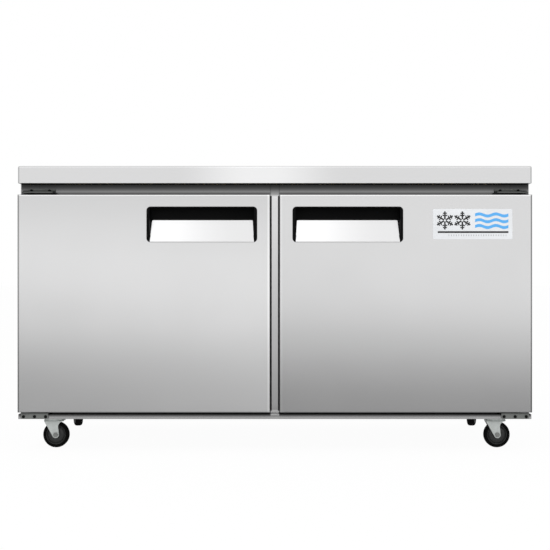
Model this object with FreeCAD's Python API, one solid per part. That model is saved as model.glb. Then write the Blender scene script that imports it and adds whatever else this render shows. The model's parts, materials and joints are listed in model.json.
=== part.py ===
import FreeCAD
import Part
import math
import os

# Two-door under counter refrigerator on swivel casters.
# Millimetres. Origin on the floor under the middle, +X right, +Y to the back, +Z up.

V = FreeCAD.Vector
X = V(1, 0, 0)
Y = V(0, 1, 0)
Z = V(0, 0, 1)

# Overall size
WIDTH = 1530.0
HEIGHT = 852.0
FRONT = -381.0
BACK = 381.0
HALF = WIDTH / 2

# Sheet metal
SHEET = 1.5
LINER_T = 2.0
SKIN = HALF - SHEET

# Worktop
TOP_Z = 801.2
TOP_FRONT = FRONT + 5.0
TOP_EDGE_R = 6.0
TOP_RETURN = 24.0

# Cabinet body
FLOOR_Z = 98.0
FRAME_Y = -329.0
BODY_BACK = 351.0
BACK_INNER = BODY_BACK - 2 * SHEET
SILL_Y = -368.0
SILL_TOP = 112.0
SEAM_X = 708.0

# Food compartment: outer faces of the liner, with a step over the machine compartment
LINER_X = 715.0
LINER_BOTTOM = 150.0
LINER_TOP = 735.0
LINER_BACK = 300.0
STEP_Y = 80.0
STEP_Z = 430.0
LINER_FLANGE = 20.0

# Machine compartment
MACHINE_X = 715.0
MACHINE_Y = 130.0
MACHINE_TOP = 380.0

# Door
DOOR_INNER_X = 14.5
DOOR_BOTTOM = 118.7
DOOR_TOP = 766.6
DOOR_FRONT = FRONT + 1.0
DOOR_BACK = -339.0
DOOR_LINER_T = 4.0
DOOR_EDGE_R = 3.0
GASKET_W = 16.0
GASKET_INSET = 4.0
GASKET_OUTER_X = 736.0
GASKET_REST_GAP = 0.1
GASKET_END = 12.0
GASKET_LIP = 5.0
GASKET_LIP_T = 2.5
FOLD = 2.5
DART = 3.0
DART_IN = 6.0
DART_W = 4.0
LINER_RISE = 6.0
LINER_RISE_R = 14.0

# Hinges
PIN_X = 743.0
PIN_Y = -363.0
PIN_R = 6.0
RUNNING = 0.05
PIN_LAND = 12.0
TOP_PIN_IN = 20.0
LOW_PIN_IN = 45.0
BUSH_R = 9.0
BUSH_L = 25.0
CARTRIDGE_R = 12.0
CARTRIDGE_L = 60.0
BRACKET_CORNER = 9.0
TOP_BRACKET_X = 660.0
TOP_PLATE_Z = 772.0
TOP_PLATE_T = 4.0
TOP_LEG_W = 82.0
TOP_LEG_H = 14.0
LOW_BRACKET_X = (675.0, 757.0)
LOW_PLATE_T = 3.5
LEG_T = 3.0
SCREW_R = 2.5
SCREW_HEAD_R = 4.5
SCREW_HEAD_T = 2.4
FRAME_SCREW_L = 16.0
SILL_SCREW_L = 12.0
GRILLE_SCREW_L = 14.0
TOP_SCREW_X = (678.0, 732.0)
LOW_SCREW_X = (683.0, 716.0, 749.0)

# Recessed pull in each door
PULL_X0 = 52.5
PULL_X1 = 381.4
PULL_Z0 = 625.0
PULL_Z1 = 731.0
PULL_CORNER = 12.0
PULL_WALL = 2.0
PULL_DEPTH = 34.0
PULL_SLOPE_Z = 691.0
PULL_MARGIN = 9.0
PLATE_T = 1.5
PLATE_TAPER = 8.0

# Label on the right door
LABEL = (470.0, 706.0, 634.0, 724.0)
LABEL_T = 0.3

# Casters
WHEEL_R = 40.0
WHEEL_W = 26.0
HUB_R = 31.0
HUB_DISH = 4.0
BOSS_R = 10.0
TYRE_CROWN = 4.5
AXLE_R = 5.0
TRAIL = 5.0
FORK_GAP = 15.0
FORK_T = 3.0
FORK_FRONT = 12.5
FORK_END_R = 10.0
CROWN_R = 31.0
CROWN_H = 4.0
CROWN_BOTTOM = 83.0
RACE_BOTTOM = 90.0
PLATE_BOTTOM = 95.0
CASTERS = {
    "front_left": (-674.0, -261.0, 0.0),
    "front_right": (674.0, -261.0, 0.0),
    "rear_left": (-688.0, 300.0, 106.0),
    "rear_right": (688.0, 300.0, 74.0),
}
CASTER_BOLT_X = 40.0
CASTER_BOLT_Y = 30.0
BOLT_R = 4.0
BOLT_TOP = 108.0
HEX = 13.0

# Shelves
SHELF_Z = 450.0
SHELF_ROD = 3.0
SHELF_WIRE = 1.6
SHELF_X0 = 15.0
SHELF_X1 = 703.0
SHELF_Y0 = -268.0
SHELF_Y1 = 284.0
SHELF_WELD = 0.6
SHELF_WIRES = 29
PILASTER_W = 24.0
PILASTER_T = 2.0
WALL_STRIP_Y = (-240.0, 255.0)
CLIP = 18.0
CLIP_T = 2.0
CLIP_DROP = 8.0
MULLION_X = 42.0
MULLION_BACK = -279.0

# Condensing unit
COMPRESSOR = (400.0, 240.0)
POT_R = 82.0
POT_Z = (122.0, 287.0)
POT_DOME_R = 28.0
SEAM_RIM = 4.0
SEAM_H = 6.0
BASE_X = 105.0
BASE_Y = 78.0
BASE_T = 3.5
BASE_CORNER = 12.0
TERMINAL_X = (70.0, 106.0)
TERMINAL_Y = 25.0
TERMINAL_Z = (170.0, 230.0)
MOUNT_X = 90.0
MOUNT_Y = 64.0
MOUNT_R = 12.0
MOUNT_H = 22.0
CONDENSER_X = (-440.0, -160.0)
CONDENSER_Y = (150.0, 190.0)
CONDENSER_Z = (110.0, 350.0)
COND_FAN = (-300.0, 230.0)
COND_FAN_R = 100.0
COND_HUB_Y = (206.0, 228.0)
COND_MOTOR_Y = (235.0, 290.0)
SHROUD_T = 2.0
SHROUD_DEPTH = 30.0
SHROUD_GAP = 5.0
SHROUD_RIM = 3.0

# Fans
HUB_SHAFT_R = 3.0
FAN_HUB_R = 17.0
BLADE_PITCH = 24.0
BLADE_WIDTH = 0.55
MOTOR_R = 32.0
MOTOR_EDGE_R = 5.0
MOTOR_BORE = 22.0
SHAFT_IN = 17.0
ARM_T = 6.0
ARM_H = 16.0
EVAP_ARM = 60.0

PAN_X = (60.0, 240.0)
PAN_Y = (150.0, 330.0)
PAN_H = 24.5

# Rear grille and cord: places as (x, z)
SLOT_COLUMNS = 8
SLOT_ROWS = 11
SLOT_L = 125.0
SLOT_H = 7.0
SLOT_PITCH_X = 165.0
SLOT_PITCH_Z = 20.0
SLOT_Z = 132.0
CORD_HOLE_R = 7.0
CORD_EXIT = (675.0, 122.0)
CORD_COIL = (560.0, 500.0)
CORD_COIL_R = 92.0
CORD_TURNS = 3
CORD_CLOSING = 1.15
CORD_R = 3.2
CORD_OFF = 9.0

# Evaporator, high at the back of the food compartment
COVER_X = 300.0
COVER_Y = 198.0
COVER_Z = (560.0, 722.0)
EVAP_X = (-270.0, -20.0)
EVAP_Y = (235.0, 285.0)
EVAP_Z = (585.0, 700.0)
EVAP_FAN = (150.0, 641.0)
EVAP_FAN_R = 60.0
EVAP_HUB_Y = (214.0, 230.0)
EVAP_MOTOR_Y = (238.0, 285.0)
COVER_T = 2.0
COVER_EDGE_R = 6.0
GUARD_RADII = (58.0, 46.0, 34.0, 22.0)
GUARD_GAP = 8.0
GUARD_BAR = 2.0
COVER_SLOTS = 14
COVER_SLOT_X = -270.0
COVER_SLOT_W = 10.0
COVER_SLOT_PITCH = 18.0
PIPE_HOLE = 20.0

# Thermostat
KNOB = (-200.0, 641.0)
KNOB_R = 18.0
KNOB_T = 6.0
GRIP_H = 14.0
GRIP_HALF = 4.0
DIAL_GAP = 0.3
HOUSING_X = 42.0
HOUSING_Z = 26.0
HOUSING_T = 14.0
COIL_TUBE_R = 4.5
COIL_TUBE_IN = 4.0
COIL_BEND = 8.0
CONDENSER_ROWS = 8
EVAP_ROWS = 6
COIL_FINS = 26

# Pipes from the coils: risers as (x, y), then runs and their heights
SUCTION = (5.0, 260.0)
LIQUID = (-6.0, 260.0)
SUCTION_R = 5.0
SUCTION_Z = 180.0
SUCTION_OUT = 48.0
SUCTION_RUN_Z = 330.0
LIQUID_R = 3.0
LIQUID_OUT = 44.0
DISCHARGE_Z = 235.0
DISCHARGE_OUT = 28.0
DRIER_R = 12.0
DRIER_X = (-100.0, -30.0)


def block(x0, x1, y0, y1, z0, z1):
    return Part.makeBox(x1 - x0, y1 - y0, z1 - z0, V(x0, y0, z0))


def rod(radius, start, end):
    return Part.makeCylinder(radius, (end - start).Length, start, end - start)


def mirrored(shape):
    return shape.mirror(V(0, 0, 0), X)


def join(shapes):
    return shapes[0].fuse(list(shapes[1:])).removeSplitter()


def parallel_edges(shape, direction, keep):
    """Straight edges along a direction whose middle point passes a test."""
    chosen = []
    for edge in shape.Edges:
        along = edge.valueAt(edge.LastParameter) - edge.valueAt(edge.FirstParameter)
        middle = edge.CenterOfMass
        if along.cross(direction).Length < 0.001 and keep(middle):
            chosen.append(edge)
    return chosen


def rounded_y(x0, x1, y0, y1, z0, z1, radius):
    """A block whose four corners, seen along Y, are rounded."""
    solid = block(x0, x1, y0, y1, z0, z1)
    return solid.makeFillet(radius, parallel_edges(solid, Y, lambda p: True))


def rounded_z(x0, x1, y0, y1, z0, z1, radius):
    """A block whose four corners, seen along Z, are rounded."""
    solid = block(x0, x1, y0, y1, z0, z1)
    return solid.makeFillet(radius, parallel_edges(solid, Z, lambda p: True))


def prism_x(points, x0, x1):
    """An outline in the YZ plane, extruded from x0 to x1."""
    outline = [V(x0, y, z) for y, z in points]
    return Part.Face(Part.makePolygon(outline + outline[:1])).extrude(V(x1 - x0, 0, 0))


def pipe(points, radius, bend):
    """A round bar along a path of straight runs joined by bends."""
    edges = []
    start = points[0]
    for before, corner, after in zip(points, points[1:], points[2:]):
        into = (before - corner).normalize()
        out = (after - corner).normalize()
        half_angle = into.getAngle(out) / 2
        reach = bend / math.tan(half_angle)
        first = corner + into * reach
        last = corner + out * reach
        bisector = (into + out).normalize()
        middle = corner + bisector * (bend / math.sin(half_angle) - bend)
        edges.append(Part.makeLine(start, first))
        edges.append(Part.Arc(first, middle, last).toShape())
        start = last
    edges.append(Part.makeLine(start, points[-1]))
    along = (points[1] - points[0]).normalize()
    ring = Part.Wire(Part.makeCircle(radius, points[0], along))
    return Part.Wire(edges).makePipeShell([ring], True, False)


def hexagon(across, height, centre, axis):
    """A bolt head or nut."""
    corner = across / math.sqrt(3)
    points = []
    for step in range(7):
        angle = math.radians(60 * step)
        points.append(V(corner * math.cos(angle), corner * math.sin(angle), 0))
    head = Part.Face(Part.makePolygon(points)).extrude(V(0, 0, height))
    head.Placement = FreeCAD.Placement(centre, FreeCAD.Rotation(Z, axis))
    return head


def save(name, *solids):
    shape = solids[0] if len(solids) == 1 else Part.makeCompound(list(solids))
    shape.exportStep("parts/" + name + ".step")


# Screw places: (x, z) on the hinge brackets and on the rear grille

def top_screws():
    return [(x, TOP_PLATE_Z + 8.5) for x in TOP_SCREW_X]


def low_screws():
    return [(x, (FLOOR_Z + SILL_TOP) / 2 + 0.5) for x in LOW_SCREW_X]


def grille_screws():
    side_x = MACHINE_X + 6
    places = [(x, MACHINE_TOP + 8) for x in (-side_x, 0, side_x)]
    for x in (-side_x, side_x):
        places += [(x, FLOOR_Z + 32), (x, FLOOR_Z + 152)]
    return places


def screw(x, z, seat, length, way):
    """A pan-head screw along Y, its head on the seat and its shank going the given way."""
    face = seat - way * SCREW_HEAD_T
    head = rod(SCREW_HEAD_R, V(x, seat, z), V(x, face, z))
    rim = [e for e in head.Edges if abs(e.CenterOfMass.y - face) < 0.01]
    head = head.makeFillet(SCREW_HEAD_T * 0.6, rim)
    arm = SCREW_HEAD_R * 0.55
    recess = block(x - arm, x + arm, face - 0.5, face + 0.5, z - 0.5, z + 0.5)
    recess = recess.fuse(block(x - 0.5, x + 0.5, face - 0.5, face + 0.5, z - arm, z + arm))
    shank = rod(SCREW_R, V(x, seat, z), V(x, seat + way * length, z))
    return head.cut(recess).fuse(shank)


def all_screws():
    """Hinge bracket screws on both sides, then the grille's."""
    screws = []
    for x, z in top_screws():
        one = screw(x, z, FRAME_Y - LEG_T, FRAME_SCREW_L, 1)
        screws += [one, mirrored(one)]
    for x, z in low_screws():
        one = screw(x, z, SILL_Y - LEG_T, SILL_SCREW_L, 1)
        screws += [one, mirrored(one)]
    for x, z in grille_screws():
        screws.append(screw(x, z, BODY_BACK, GRILLE_SCREW_L, -1))
    return screws


def screw_holes():
    """Round holes that the screw shanks fill."""
    frame_y = FRAME_Y - LEG_T
    sill_y = SILL_Y - LEG_T
    holes = []
    for x, z in top_screws():
        hole = rod(SCREW_R, V(x, frame_y - 1, z), V(x, frame_y + FRAME_SCREW_L, z))
        holes += [hole, mirrored(hole)]
    for x, z in low_screws():
        hole = rod(SCREW_R, V(x, sill_y - 1, z), V(x, sill_y + SILL_SCREW_L, z))
        holes += [hole, mirrored(hole)]
    for x, z in grille_screws():
        holes.append(rod(SCREW_R, V(x, BODY_BACK - GRILLE_SCREW_L, z), V(x, BODY_BACK + 1, z)))
    return holes


def caster_bolt_places():
    places = []
    for x, y, _ in CASTERS.values():
        for side in (-1, 1):
            for end in (-1, 1):
                places.append((x + side * CASTER_BOLT_X, y + end * CASTER_BOLT_Y))
    return places


def bolt_holes():
    return [bolt_shank(x, y) for x, y in caster_bolt_places()]


def bolt_shank(x, y):
    return rod(BOLT_R, V(x, y, PLATE_BOTTOM), V(x, y, BOLT_TOP))


def line_holes():
    """Where the suction and liquid lines rise through the step."""
    suction = rod(SUCTION_R, V(*SUCTION, MACHINE_TOP - 10), V(*SUCTION, STEP_Z + 10))
    liquid = rod(LIQUID_R, V(*LIQUID, MACHINE_TOP - 10), V(*LIQUID, STEP_Z + 10))
    return [suction, liquid]


# Cabinet shell

def side_panel():
    """Right side: a flat skin with a foot beside the sill and a rear return flange."""
    skin = block(SKIN, HALF, FRAME_Y, BODY_BACK, FLOOR_Z, TOP_Z)
    foot = block(SKIN, HALF, SILL_Y, FRAME_Y, FLOOR_Z, SILL_TOP)
    flange = block(HALF - 20, SKIN, BODY_BACK - SHEET, BODY_BACK, FLOOR_Z, TOP_Z)
    return join([skin, foot, flange])


def back_panel():
    skin = block(-SKIN, SKIN, BACK_INNER, BACK_INNER + SHEET, FLOOR_Z, TOP_Z)
    window_x = MACHINE_X - SHEET
    window = block(-window_x, window_x, BACK_INNER, BODY_BACK, FLOOR_Z - 1, MACHINE_TOP - SHEET)
    return skin.cut([window] + screw_holes())


def bottom_panel():
    """Floor tray whose front edge is folded up and back as the sill under the doors."""
    tray = block(-SKIN, SKIN, SILL_Y, BACK_INNER, FLOOR_Z, FLOOR_Z + SHEET)
    rise = block(-SKIN, SKIN, SILL_Y, SILL_Y + SHEET, FLOOR_Z, SILL_TOP)
    shelf = block(-SKIN, SKIN, SILL_Y, FRAME_Y, SILL_TOP - SHEET, SILL_TOP)
    folded = join([tray, rise, shelf])
    bend = parallel_edges(folded, X, lambda p: abs(p.y - SILL_Y) < 0.01)
    folded = folded.makeFillet(1.2, bend)
    return folded.cut(screw_holes() + bolt_holes())


def worktop():
    """Folded pan with rounded top edges and corners, and returns along its lower edge."""
    outer = worktop_block(0, TOP_EDGE_R)
    inner = worktop_block(SHEET, TOP_EDGE_R - SHEET)
    x = HALF - TOP_RETURN
    mouth = block(-x, x, TOP_FRONT + TOP_RETURN, BACK - TOP_RETURN, TOP_Z - 1, TOP_Z + SHEET)
    return outer.cut([inner, mouth])


def worktop_block(inset, radius):
    lower = TOP_Z + inset
    y0 = TOP_FRONT + inset
    solid = block(-HALF + inset, HALF - inset, y0, BACK - inset, lower, HEIGHT - inset)
    upright = parallel_edges(solid, Z, lambda p: True)
    solid = solid.makeFillet(radius, upright)
    crest = [e for e in solid.Edges if abs(e.CenterOfMass.z - (HEIGHT - inset)) < 0.01]
    return solid.makeFillet(radius - 1, crest)


def liner_block(inset):
    """The food compartment's volume: an upper box and a shorter box below the step."""
    x = LINER_X - inset
    z0 = LINER_BOTTOM + inset
    z1 = LINER_TOP - inset
    y0 = FRAME_Y + SHEET
    step_z = STEP_Z + inset
    outline = [
        (y0, z0),
        (STEP_Y - inset, z0),
        (STEP_Y - inset, step_z),
        (LINER_BACK - inset, step_z),
        (LINER_BACK - inset, z1),
        (y0, z1),
    ]
    return prism_x(outline, -x, x)


def liner_flange():
    x = LINER_X + LINER_FLANGE
    z0 = LINER_BOTTOM - LINER_FLANGE
    z1 = LINER_TOP + LINER_FLANGE
    y0 = FRAME_Y + SHEET
    return block(-x, x, y0, y0 + LINER_T, z0, z1)


def inner_liner():
    shell = join([liner_block(0), liner_flange()])
    cavity = liner_block(LINER_T)
    return shell.cut([cavity] + line_holes())


def machine_block(inset):
    x = MACHINE_X - inset
    z1 = MACHINE_TOP - inset
    return block(-x, x, MACHINE_Y + inset, BACK_INNER, FLOOR_Z + SHEET, z1)


def machine_housing():
    return machine_block(0).cut([machine_block(SHEET)] + line_holes() + screw_holes())


def foam_insulation():
    """Foam between the skins and the liner, and the core of the worktop."""
    body = block(-SKIN, SKIN, FRAME_Y + SHEET, BACK_INNER, FLOOR_Z + SHEET, TOP_Z)
    taken = [liner_block(0), liner_flange(), machine_block(0)]
    body = body.cut(taken + line_holes() + screw_holes() + bolt_holes())
    core = worktop_block(SHEET, TOP_EDGE_R - SHEET)
    return [body, core]


def face_frame():
    """Steel frame that the door seals close on, with a seam beside each top hinge."""
    plate = block(-SKIN, SKIN, FRAME_Y, FRAME_Y + SHEET, SILL_TOP, TOP_Z)
    x = LINER_X - LINER_T
    z0 = LINER_BOTTOM + LINER_T
    opening = block(-x, x, FRAME_Y - 1, FRAME_Y + 3, z0, LINER_TOP - LINER_T)
    cuts = [opening] + screw_holes()
    for side in (-1, 1):
        x = side * SEAM_X
        cuts.append(block(x - 0.8, x + 0.8, FRAME_Y - 1, FRAME_Y + 0.8, LINER_TOP, TOP_Z + 1))
    return plate.cut(cuts)


def centre_mullion():
    z0 = LINER_BOTTOM + LINER_T
    z1 = LINER_TOP - LINER_T
    post = rounded_z(-MULLION_X, MULLION_X, FRAME_Y, MULLION_BACK, z0, z1, 2.5)
    inside = block(-MULLION_X + 2, MULLION_X - 2, FRAME_Y + 2, MULLION_BACK - 2, z0, z1)
    return post.cut(inside)


# Hinges: modelled on the right, mirrored for the left

def on_pin(z):
    return V(PIN_X, PIN_Y, z)


def top_bracket():
    x0 = TOP_BRACKET_X
    edge = PIN_X + PIN_LAND
    plate_top = TOP_PLATE_Z + TOP_PLATE_T
    plate = block(x0, edge, PIN_Y - PIN_LAND, FRAME_Y, TOP_PLATE_Z, plate_top)
    corners = parallel_edges(plate, Z, lambda p: p.y < FRAME_Y - 1)
    plate = plate.makeFillet(BRACKET_CORNER, corners)
    leg_top = TOP_PLATE_Z + TOP_LEG_H
    leg = rounded_y(x0, x0 + TOP_LEG_W, FRAME_Y - LEG_T, FRAME_Y, TOP_PLATE_Z, leg_top, 3)
    pin_hole = rod(PIN_R, on_pin(TOP_PLATE_Z - 1), on_pin(plate_top + 1))
    return join([plate, leg]).cut([pin_hole] + screw_holes())


def low_bracket():
    x0, x1 = LOW_BRACKET_X
    plate_top = SILL_TOP + LOW_PLATE_T
    plate = block(x0, x1, SILL_Y - LEG_T, FRAME_Y, SILL_TOP, plate_top)
    leg = rounded_y(x0, x1, SILL_Y - LEG_T, SILL_Y, FLOOR_Z + SHEET, SILL_TOP + 1, 3)
    pin_hole = rod(PIN_R, on_pin(SILL_TOP - 1), on_pin(plate_top + 1))
    return join([plate, leg]).cut([pin_hole] + screw_holes())


def top_pin():
    plate_top = TOP_PLATE_Z + TOP_PLATE_T
    pin = rod(PIN_R, on_pin(DOOR_TOP - TOP_PIN_IN), on_pin(plate_top))
    head = rod(PIN_R + 3, on_pin(plate_top), on_pin(plate_top + 3))
    return join([pin, head])


def low_pin():
    return rod(PIN_R, on_pin(SILL_TOP), on_pin(DOOR_BOTTOM + LOW_PIN_IN))


def bush_body():
    return rod(BUSH_R, on_pin(DOOR_TOP - BUSH_L), on_pin(DOOR_TOP))


def cartridge_body():
    return rod(CARTRIDGE_R, on_pin(DOOR_BOTTOM), on_pin(DOOR_BOTTOM + CARTRIDGE_L))


def hinge_inserts():
    """Top bush and lower self-closing cartridge, both pressed into the right door."""
    bore_r = PIN_R + RUNNING
    bush_rim = rod(BUSH_R + 4, on_pin(DOOR_TOP), on_pin(DOOR_TOP + 2))
    top_bore = rod(bore_r, on_pin(DOOR_TOP - TOP_PIN_IN - 2), on_pin(DOOR_TOP + 3))
    low_rim = rod(CARTRIDGE_R + 3, on_pin(DOOR_BOTTOM - 2), on_pin(DOOR_BOTTOM))
    low_bore = rod(bore_r, on_pin(DOOR_BOTTOM - 3), on_pin(DOOR_BOTTOM + LOW_PIN_IN + 2))
    return [join([bush_body(), bush_rim]).cut(top_bore), join([cartridge_body(), low_rim]).cut(low_bore)]


# Doors: modelled on the right, mirrored for the left

def door_skin():
    """Folded steel front with rounded edges, returned at the rim to the door liner."""
    rim_back = DOOR_BACK - DOOR_LINER_T
    outer = block(DOOR_INNER_X, HALF, DOOR_FRONT, rim_back, DOOR_BOTTOM, DOOR_TOP)
    folds = [e for e in outer.Edges if abs(e.CenterOfMass.y - DOOR_FRONT) < 0.01]
    outer = outer.makeFillet(DOOR_EDGE_R, folds)
    return outer.cut([door_core(), pull_body(), bush_body(), cartridge_body()])


def door_core():
    x0 = DOOR_INNER_X + SHEET
    y0 = DOOR_FRONT + SHEET
    z0 = DOOR_BOTTOM + SHEET
    return block(x0, HALF - SHEET, y0, DOOR_BACK - DOOR_LINER_T, z0, DOOR_TOP - SHEET)


def door_foam():
    return door_core().cut([pull_body(), bush_body(), cartridge_body()])


def gasket_ring(y0, y1, inset, width):
    """A rectangular ring round the door's back face."""
    x0 = DOOR_INNER_X + GASKET_INSET + inset
    x1 = GASKET_OUTER_X - inset
    z0 = DOOR_BOTTOM + GASKET_END + inset
    z1 = DOOR_TOP - GASKET_END - inset
    outer = rounded_y(x0, x1, y0, y1, z0, z1, 6)
    return outer.cut(block(x0 + width, x1 - width, y0 - 1, y1 + 1, z0 + width, z1 - width))


def door_liner():
    """Moulded inner pan: a flat border with the seal's groove and a raised middle."""
    margin = 0.6
    y0 = DOOR_BACK - DOOR_LINER_T
    x0 = DOOR_INNER_X + margin
    z0 = DOOR_BOTTOM + margin
    pan = rounded_y(x0, HALF - margin, y0, DOOR_BACK, z0, DOOR_TOP - margin, 3)
    inside = GASKET_W + LINER_RISE
    rise_x = (DOOR_INNER_X + GASKET_INSET + inside, GASKET_OUTER_X - inside)
    rise_y = DOOR_BACK + LINER_RISE
    rise_z = (DOOR_BOTTOM + GASKET_END + inside, DOOR_TOP - GASKET_END - inside)
    rise = rounded_y(*rise_x, DOOR_BACK, rise_y, *rise_z, LINER_RISE_R)
    crest = [e for e in rise.Edges if abs(e.CenterOfMass.y - rise_y) < 0.01]
    rise = rise.makeFillet(LINER_RISE / 2, crest)
    groove = gasket_ring(DOOR_BACK - DART, DOOR_BACK, DART_IN, DART_W)
    return join([pan, rise]).cut(groove)


def door_gasket():
    """Magnetic seal: a folded strip, a dart in the liner's groove and a lip in the middle gap."""
    face_y = FRAME_Y - GASKET_REST_GAP
    strip = gasket_ring(DOOR_BACK, face_y, 0, GASKET_W)
    fold_y = DOOR_BACK + FOLD
    lip_y = fold_y + FOLD
    fold = gasket_ring(fold_y, lip_y, -1, 1 + FOLD)
    dart = gasket_ring(DOOR_BACK - DART, DOOR_BACK, DART_IN, DART_W)
    lip_x = (DOOR_INNER_X - GASKET_LIP, DOOR_INNER_X + GASKET_INSET + FOLD)
    lip = block(*lip_x, lip_y, lip_y + GASKET_LIP_T, DOOR_BOTTOM + 1, DOOR_TOP - 1)
    return join([strip.cut(fold), dart, lip])


def pull_profile(grow):
    """Side outline of the pull's cavity: a sloping floor, a back wall and a roof."""
    back = FRONT + PULL_DEPTH + grow
    floor_z = PULL_Z0 + 2 - grow
    roof_z = PULL_Z1 - PULL_WALL - 2 + grow
    front = FRONT - 1
    slope_z = PULL_SLOPE_Z - grow
    return [(front, floor_z), (back, slope_z), (back, roof_z), (front, roof_z)]


def pull_cavity():
    return prism_x(pull_profile(0), PULL_X0 + PULL_MARGIN, PULL_X1 - PULL_MARGIN)


def pull_body():
    """The pull's outer moulding, behind the door's front face."""
    grown = PULL_MARGIN - PULL_WALL
    body = prism_x(pull_profile(PULL_WALL), PULL_X0 + grown, PULL_X1 - grown)
    return body.common(block(0, HALF, DOOR_FRONT, DOOR_BACK, DOOR_BOTTOM, DOOR_TOP))


def handle_pocket():
    """Black moulded pull: a rounded rim on the door's face and a sloping cavity."""
    rim = rounded_y(PULL_X0, PULL_X1, FRONT, DOOR_FRONT, PULL_Z0, PULL_Z1, PULL_CORNER)
    return join([rim, pull_body()]).cut([pull_cavity(), handle_plate()])


def handle_plate():
    """Steel plate on the pull's sloping floor, narrower at the top."""
    run = PULL_DEPTH
    rise = PULL_SLOPE_Z - PULL_Z0 - 2
    length = math.hypot(run, rise)
    half_low = (PULL_X1 - PULL_X0) / 2 - PULL_MARGIN - 0.5
    half_high = half_low - PLATE_TAPER
    corners = [(-half_low, 0), (half_low, 0), (half_high, length), (-half_high, length)]
    outline = [V(u, v, 0) for u, v in corners]
    sheet = Part.Face(Part.makePolygon(outline + outline[:1])).extrude(V(0, 0, PLATE_T))
    upper = parallel_edges(sheet, Z, lambda p: p.y > length / 2)
    sheet = sheet.makeFillet(5, upper)
    lean = math.degrees(math.atan2(rise, run))
    middle = (PULL_X0 + PULL_X1) / 2
    sheet.Placement = FreeCAD.Placement(V(middle, FRONT, PULL_Z0 + 2), FreeCAD.Rotation(X, lean))
    return sheet.common(block(PULL_X0, PULL_X1, FRONT, DOOR_BACK, PULL_Z0, PULL_Z1))


def door_label():
    x0, x1, z0, z1 = LABEL
    return rounded_y(x0, x1, DOOR_FRONT - LABEL_T, DOOR_FRONT, z0, z1, 2)


# Shelves

def shelf_right():
    """Wire shelf: a rounded outer rod, two cross rods and fine wires welded on top."""
    start = V((SHELF_X0 + SHELF_X1) / 2, SHELF_Y0, SHELF_Z)
    corners = [
        start,
        V(SHELF_X1, SHELF_Y0, SHELF_Z),
        V(SHELF_X1, SHELF_Y1, SHELF_Z),
        V(SHELF_X0, SHELF_Y1, SHELF_Z),
        V(SHELF_X0, SHELF_Y0, SHELF_Z),
        start,
    ]
    pieces = [pipe(corners, SHELF_ROD, 14)]
    for part in (1, 2):
        y = SHELF_Y0 + (SHELF_Y1 - SHELF_Y0) * part / 3
        pieces.append(rod(SHELF_ROD, V(SHELF_X0, y, SHELF_Z), V(SHELF_X1, y, SHELF_Z)))
    wire_z = SHELF_Z + SHELF_ROD + SHELF_WIRE - SHELF_WELD
    edge = 18
    pitch = (SHELF_X1 - SHELF_X0 - 2 * edge) / (SHELF_WIRES - 1)
    for step in range(SHELF_WIRES):
        x = SHELF_X0 + edge + step * pitch
        pieces.append(rod(SHELF_WIRE, V(x, SHELF_Y0 - 2, wire_z), V(x, SHELF_Y1 + 2, wire_z)))
    return join(pieces)


def pilaster(x, y, z0, z1, facing):
    """A slotted strip on a wall; facing is the direction its front looks."""
    half = PILASTER_W / 2
    if abs(facing.x) > 0:
        x_in = x + facing.x * PILASTER_T
        strip = block(min(x, x_in), max(x, x_in), y - half, y + half, z0, z1)
    else:
        y_in = y + facing.y * PILASTER_T
        strip = block(x - half, x + half, min(y, y_in), max(y, y_in), z0, z1)
    slots = []
    level = z0 + 14
    while level < z1 - 10:
        slots.append(block(x - 5, x + 5, y - 5, y + 5, level, level + 4))
        level += 25
    return strip.cut(slots)


def pilaster_places():
    wall = LINER_X - LINER_T
    top = LINER_TOP - LINER_T - 12
    places = []
    for side in (-1, 1):
        into = V(-side, 0, 0)
        places.append((side * wall, WALL_STRIP_Y[0], LINER_BOTTOM + 20, top, into))
        places.append((side * wall, WALL_STRIP_Y[1], STEP_Z + LINER_T + 2, top, into))
    places.append((0.0, MULLION_BACK, LINER_BOTTOM + 20, top, Y))
    places.append((0.0, LINER_BACK - LINER_T, STEP_Z + LINER_T + 2, 552.0, V(0, -1, 0)))
    return places


def wall_clip(y):
    """A folded clip on the right side wall."""
    top = SHELF_Z - SHELF_ROD - RUNNING
    wall = LINER_X - LINER_T - PILASTER_T
    tab = block(wall - CLIP, wall, y - 9, y + 9, top - CLIP_T, top)
    hook = block(wall - CLIP_T, wall, y - 9, y + 9, top - CLIP_DROP, top)
    return join([tab, hook])


def centre_clip(wall_y, way):
    """A wider clip on the middle line, under the corners of both shelves."""
    top = SHELF_Z - SHELF_ROD - RUNNING
    spans = []
    for reach in (CLIP, CLIP_T):
        spans.append(sorted((wall_y, wall_y + way * reach)))
    tab = block(-26, 26, *spans[0], top - CLIP_T, top)
    hook = block(-10, 10, *spans[1], top - CLIP_DROP, top)
    return join([tab, hook])


def shelf_clips():
    clips = []
    for y in WALL_STRIP_Y:
        clips += [wall_clip(y), mirrored(wall_clip(y))]
    clips.append(centre_clip(MULLION_BACK + PILASTER_T, 1))
    clips.append(centre_clip(LINER_BACK - LINER_T - PILASTER_T, -1))
    return clips


# Casters: modelled at the origin with the wheel trailing to +X, then turned and placed

def placed(shape, spot):
    x, y, turn = spot
    moved = shape.copy()
    moved.rotate(V(0, 0, 0), Z, turn)
    moved.translate(V(x, y, 0))
    return moved


def tangent_point(start, centre, radius, side):
    """Where a line from start touches a circle, in the XZ plane."""
    dx = start[0] - centre[0]
    dz = start[1] - centre[1]
    angle = math.atan2(dz, dx) + side * math.acos(radius / math.hypot(dx, dz))
    return V(centre[0] + radius * math.cos(angle), 0, centre[1] + radius * math.sin(angle))


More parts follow.
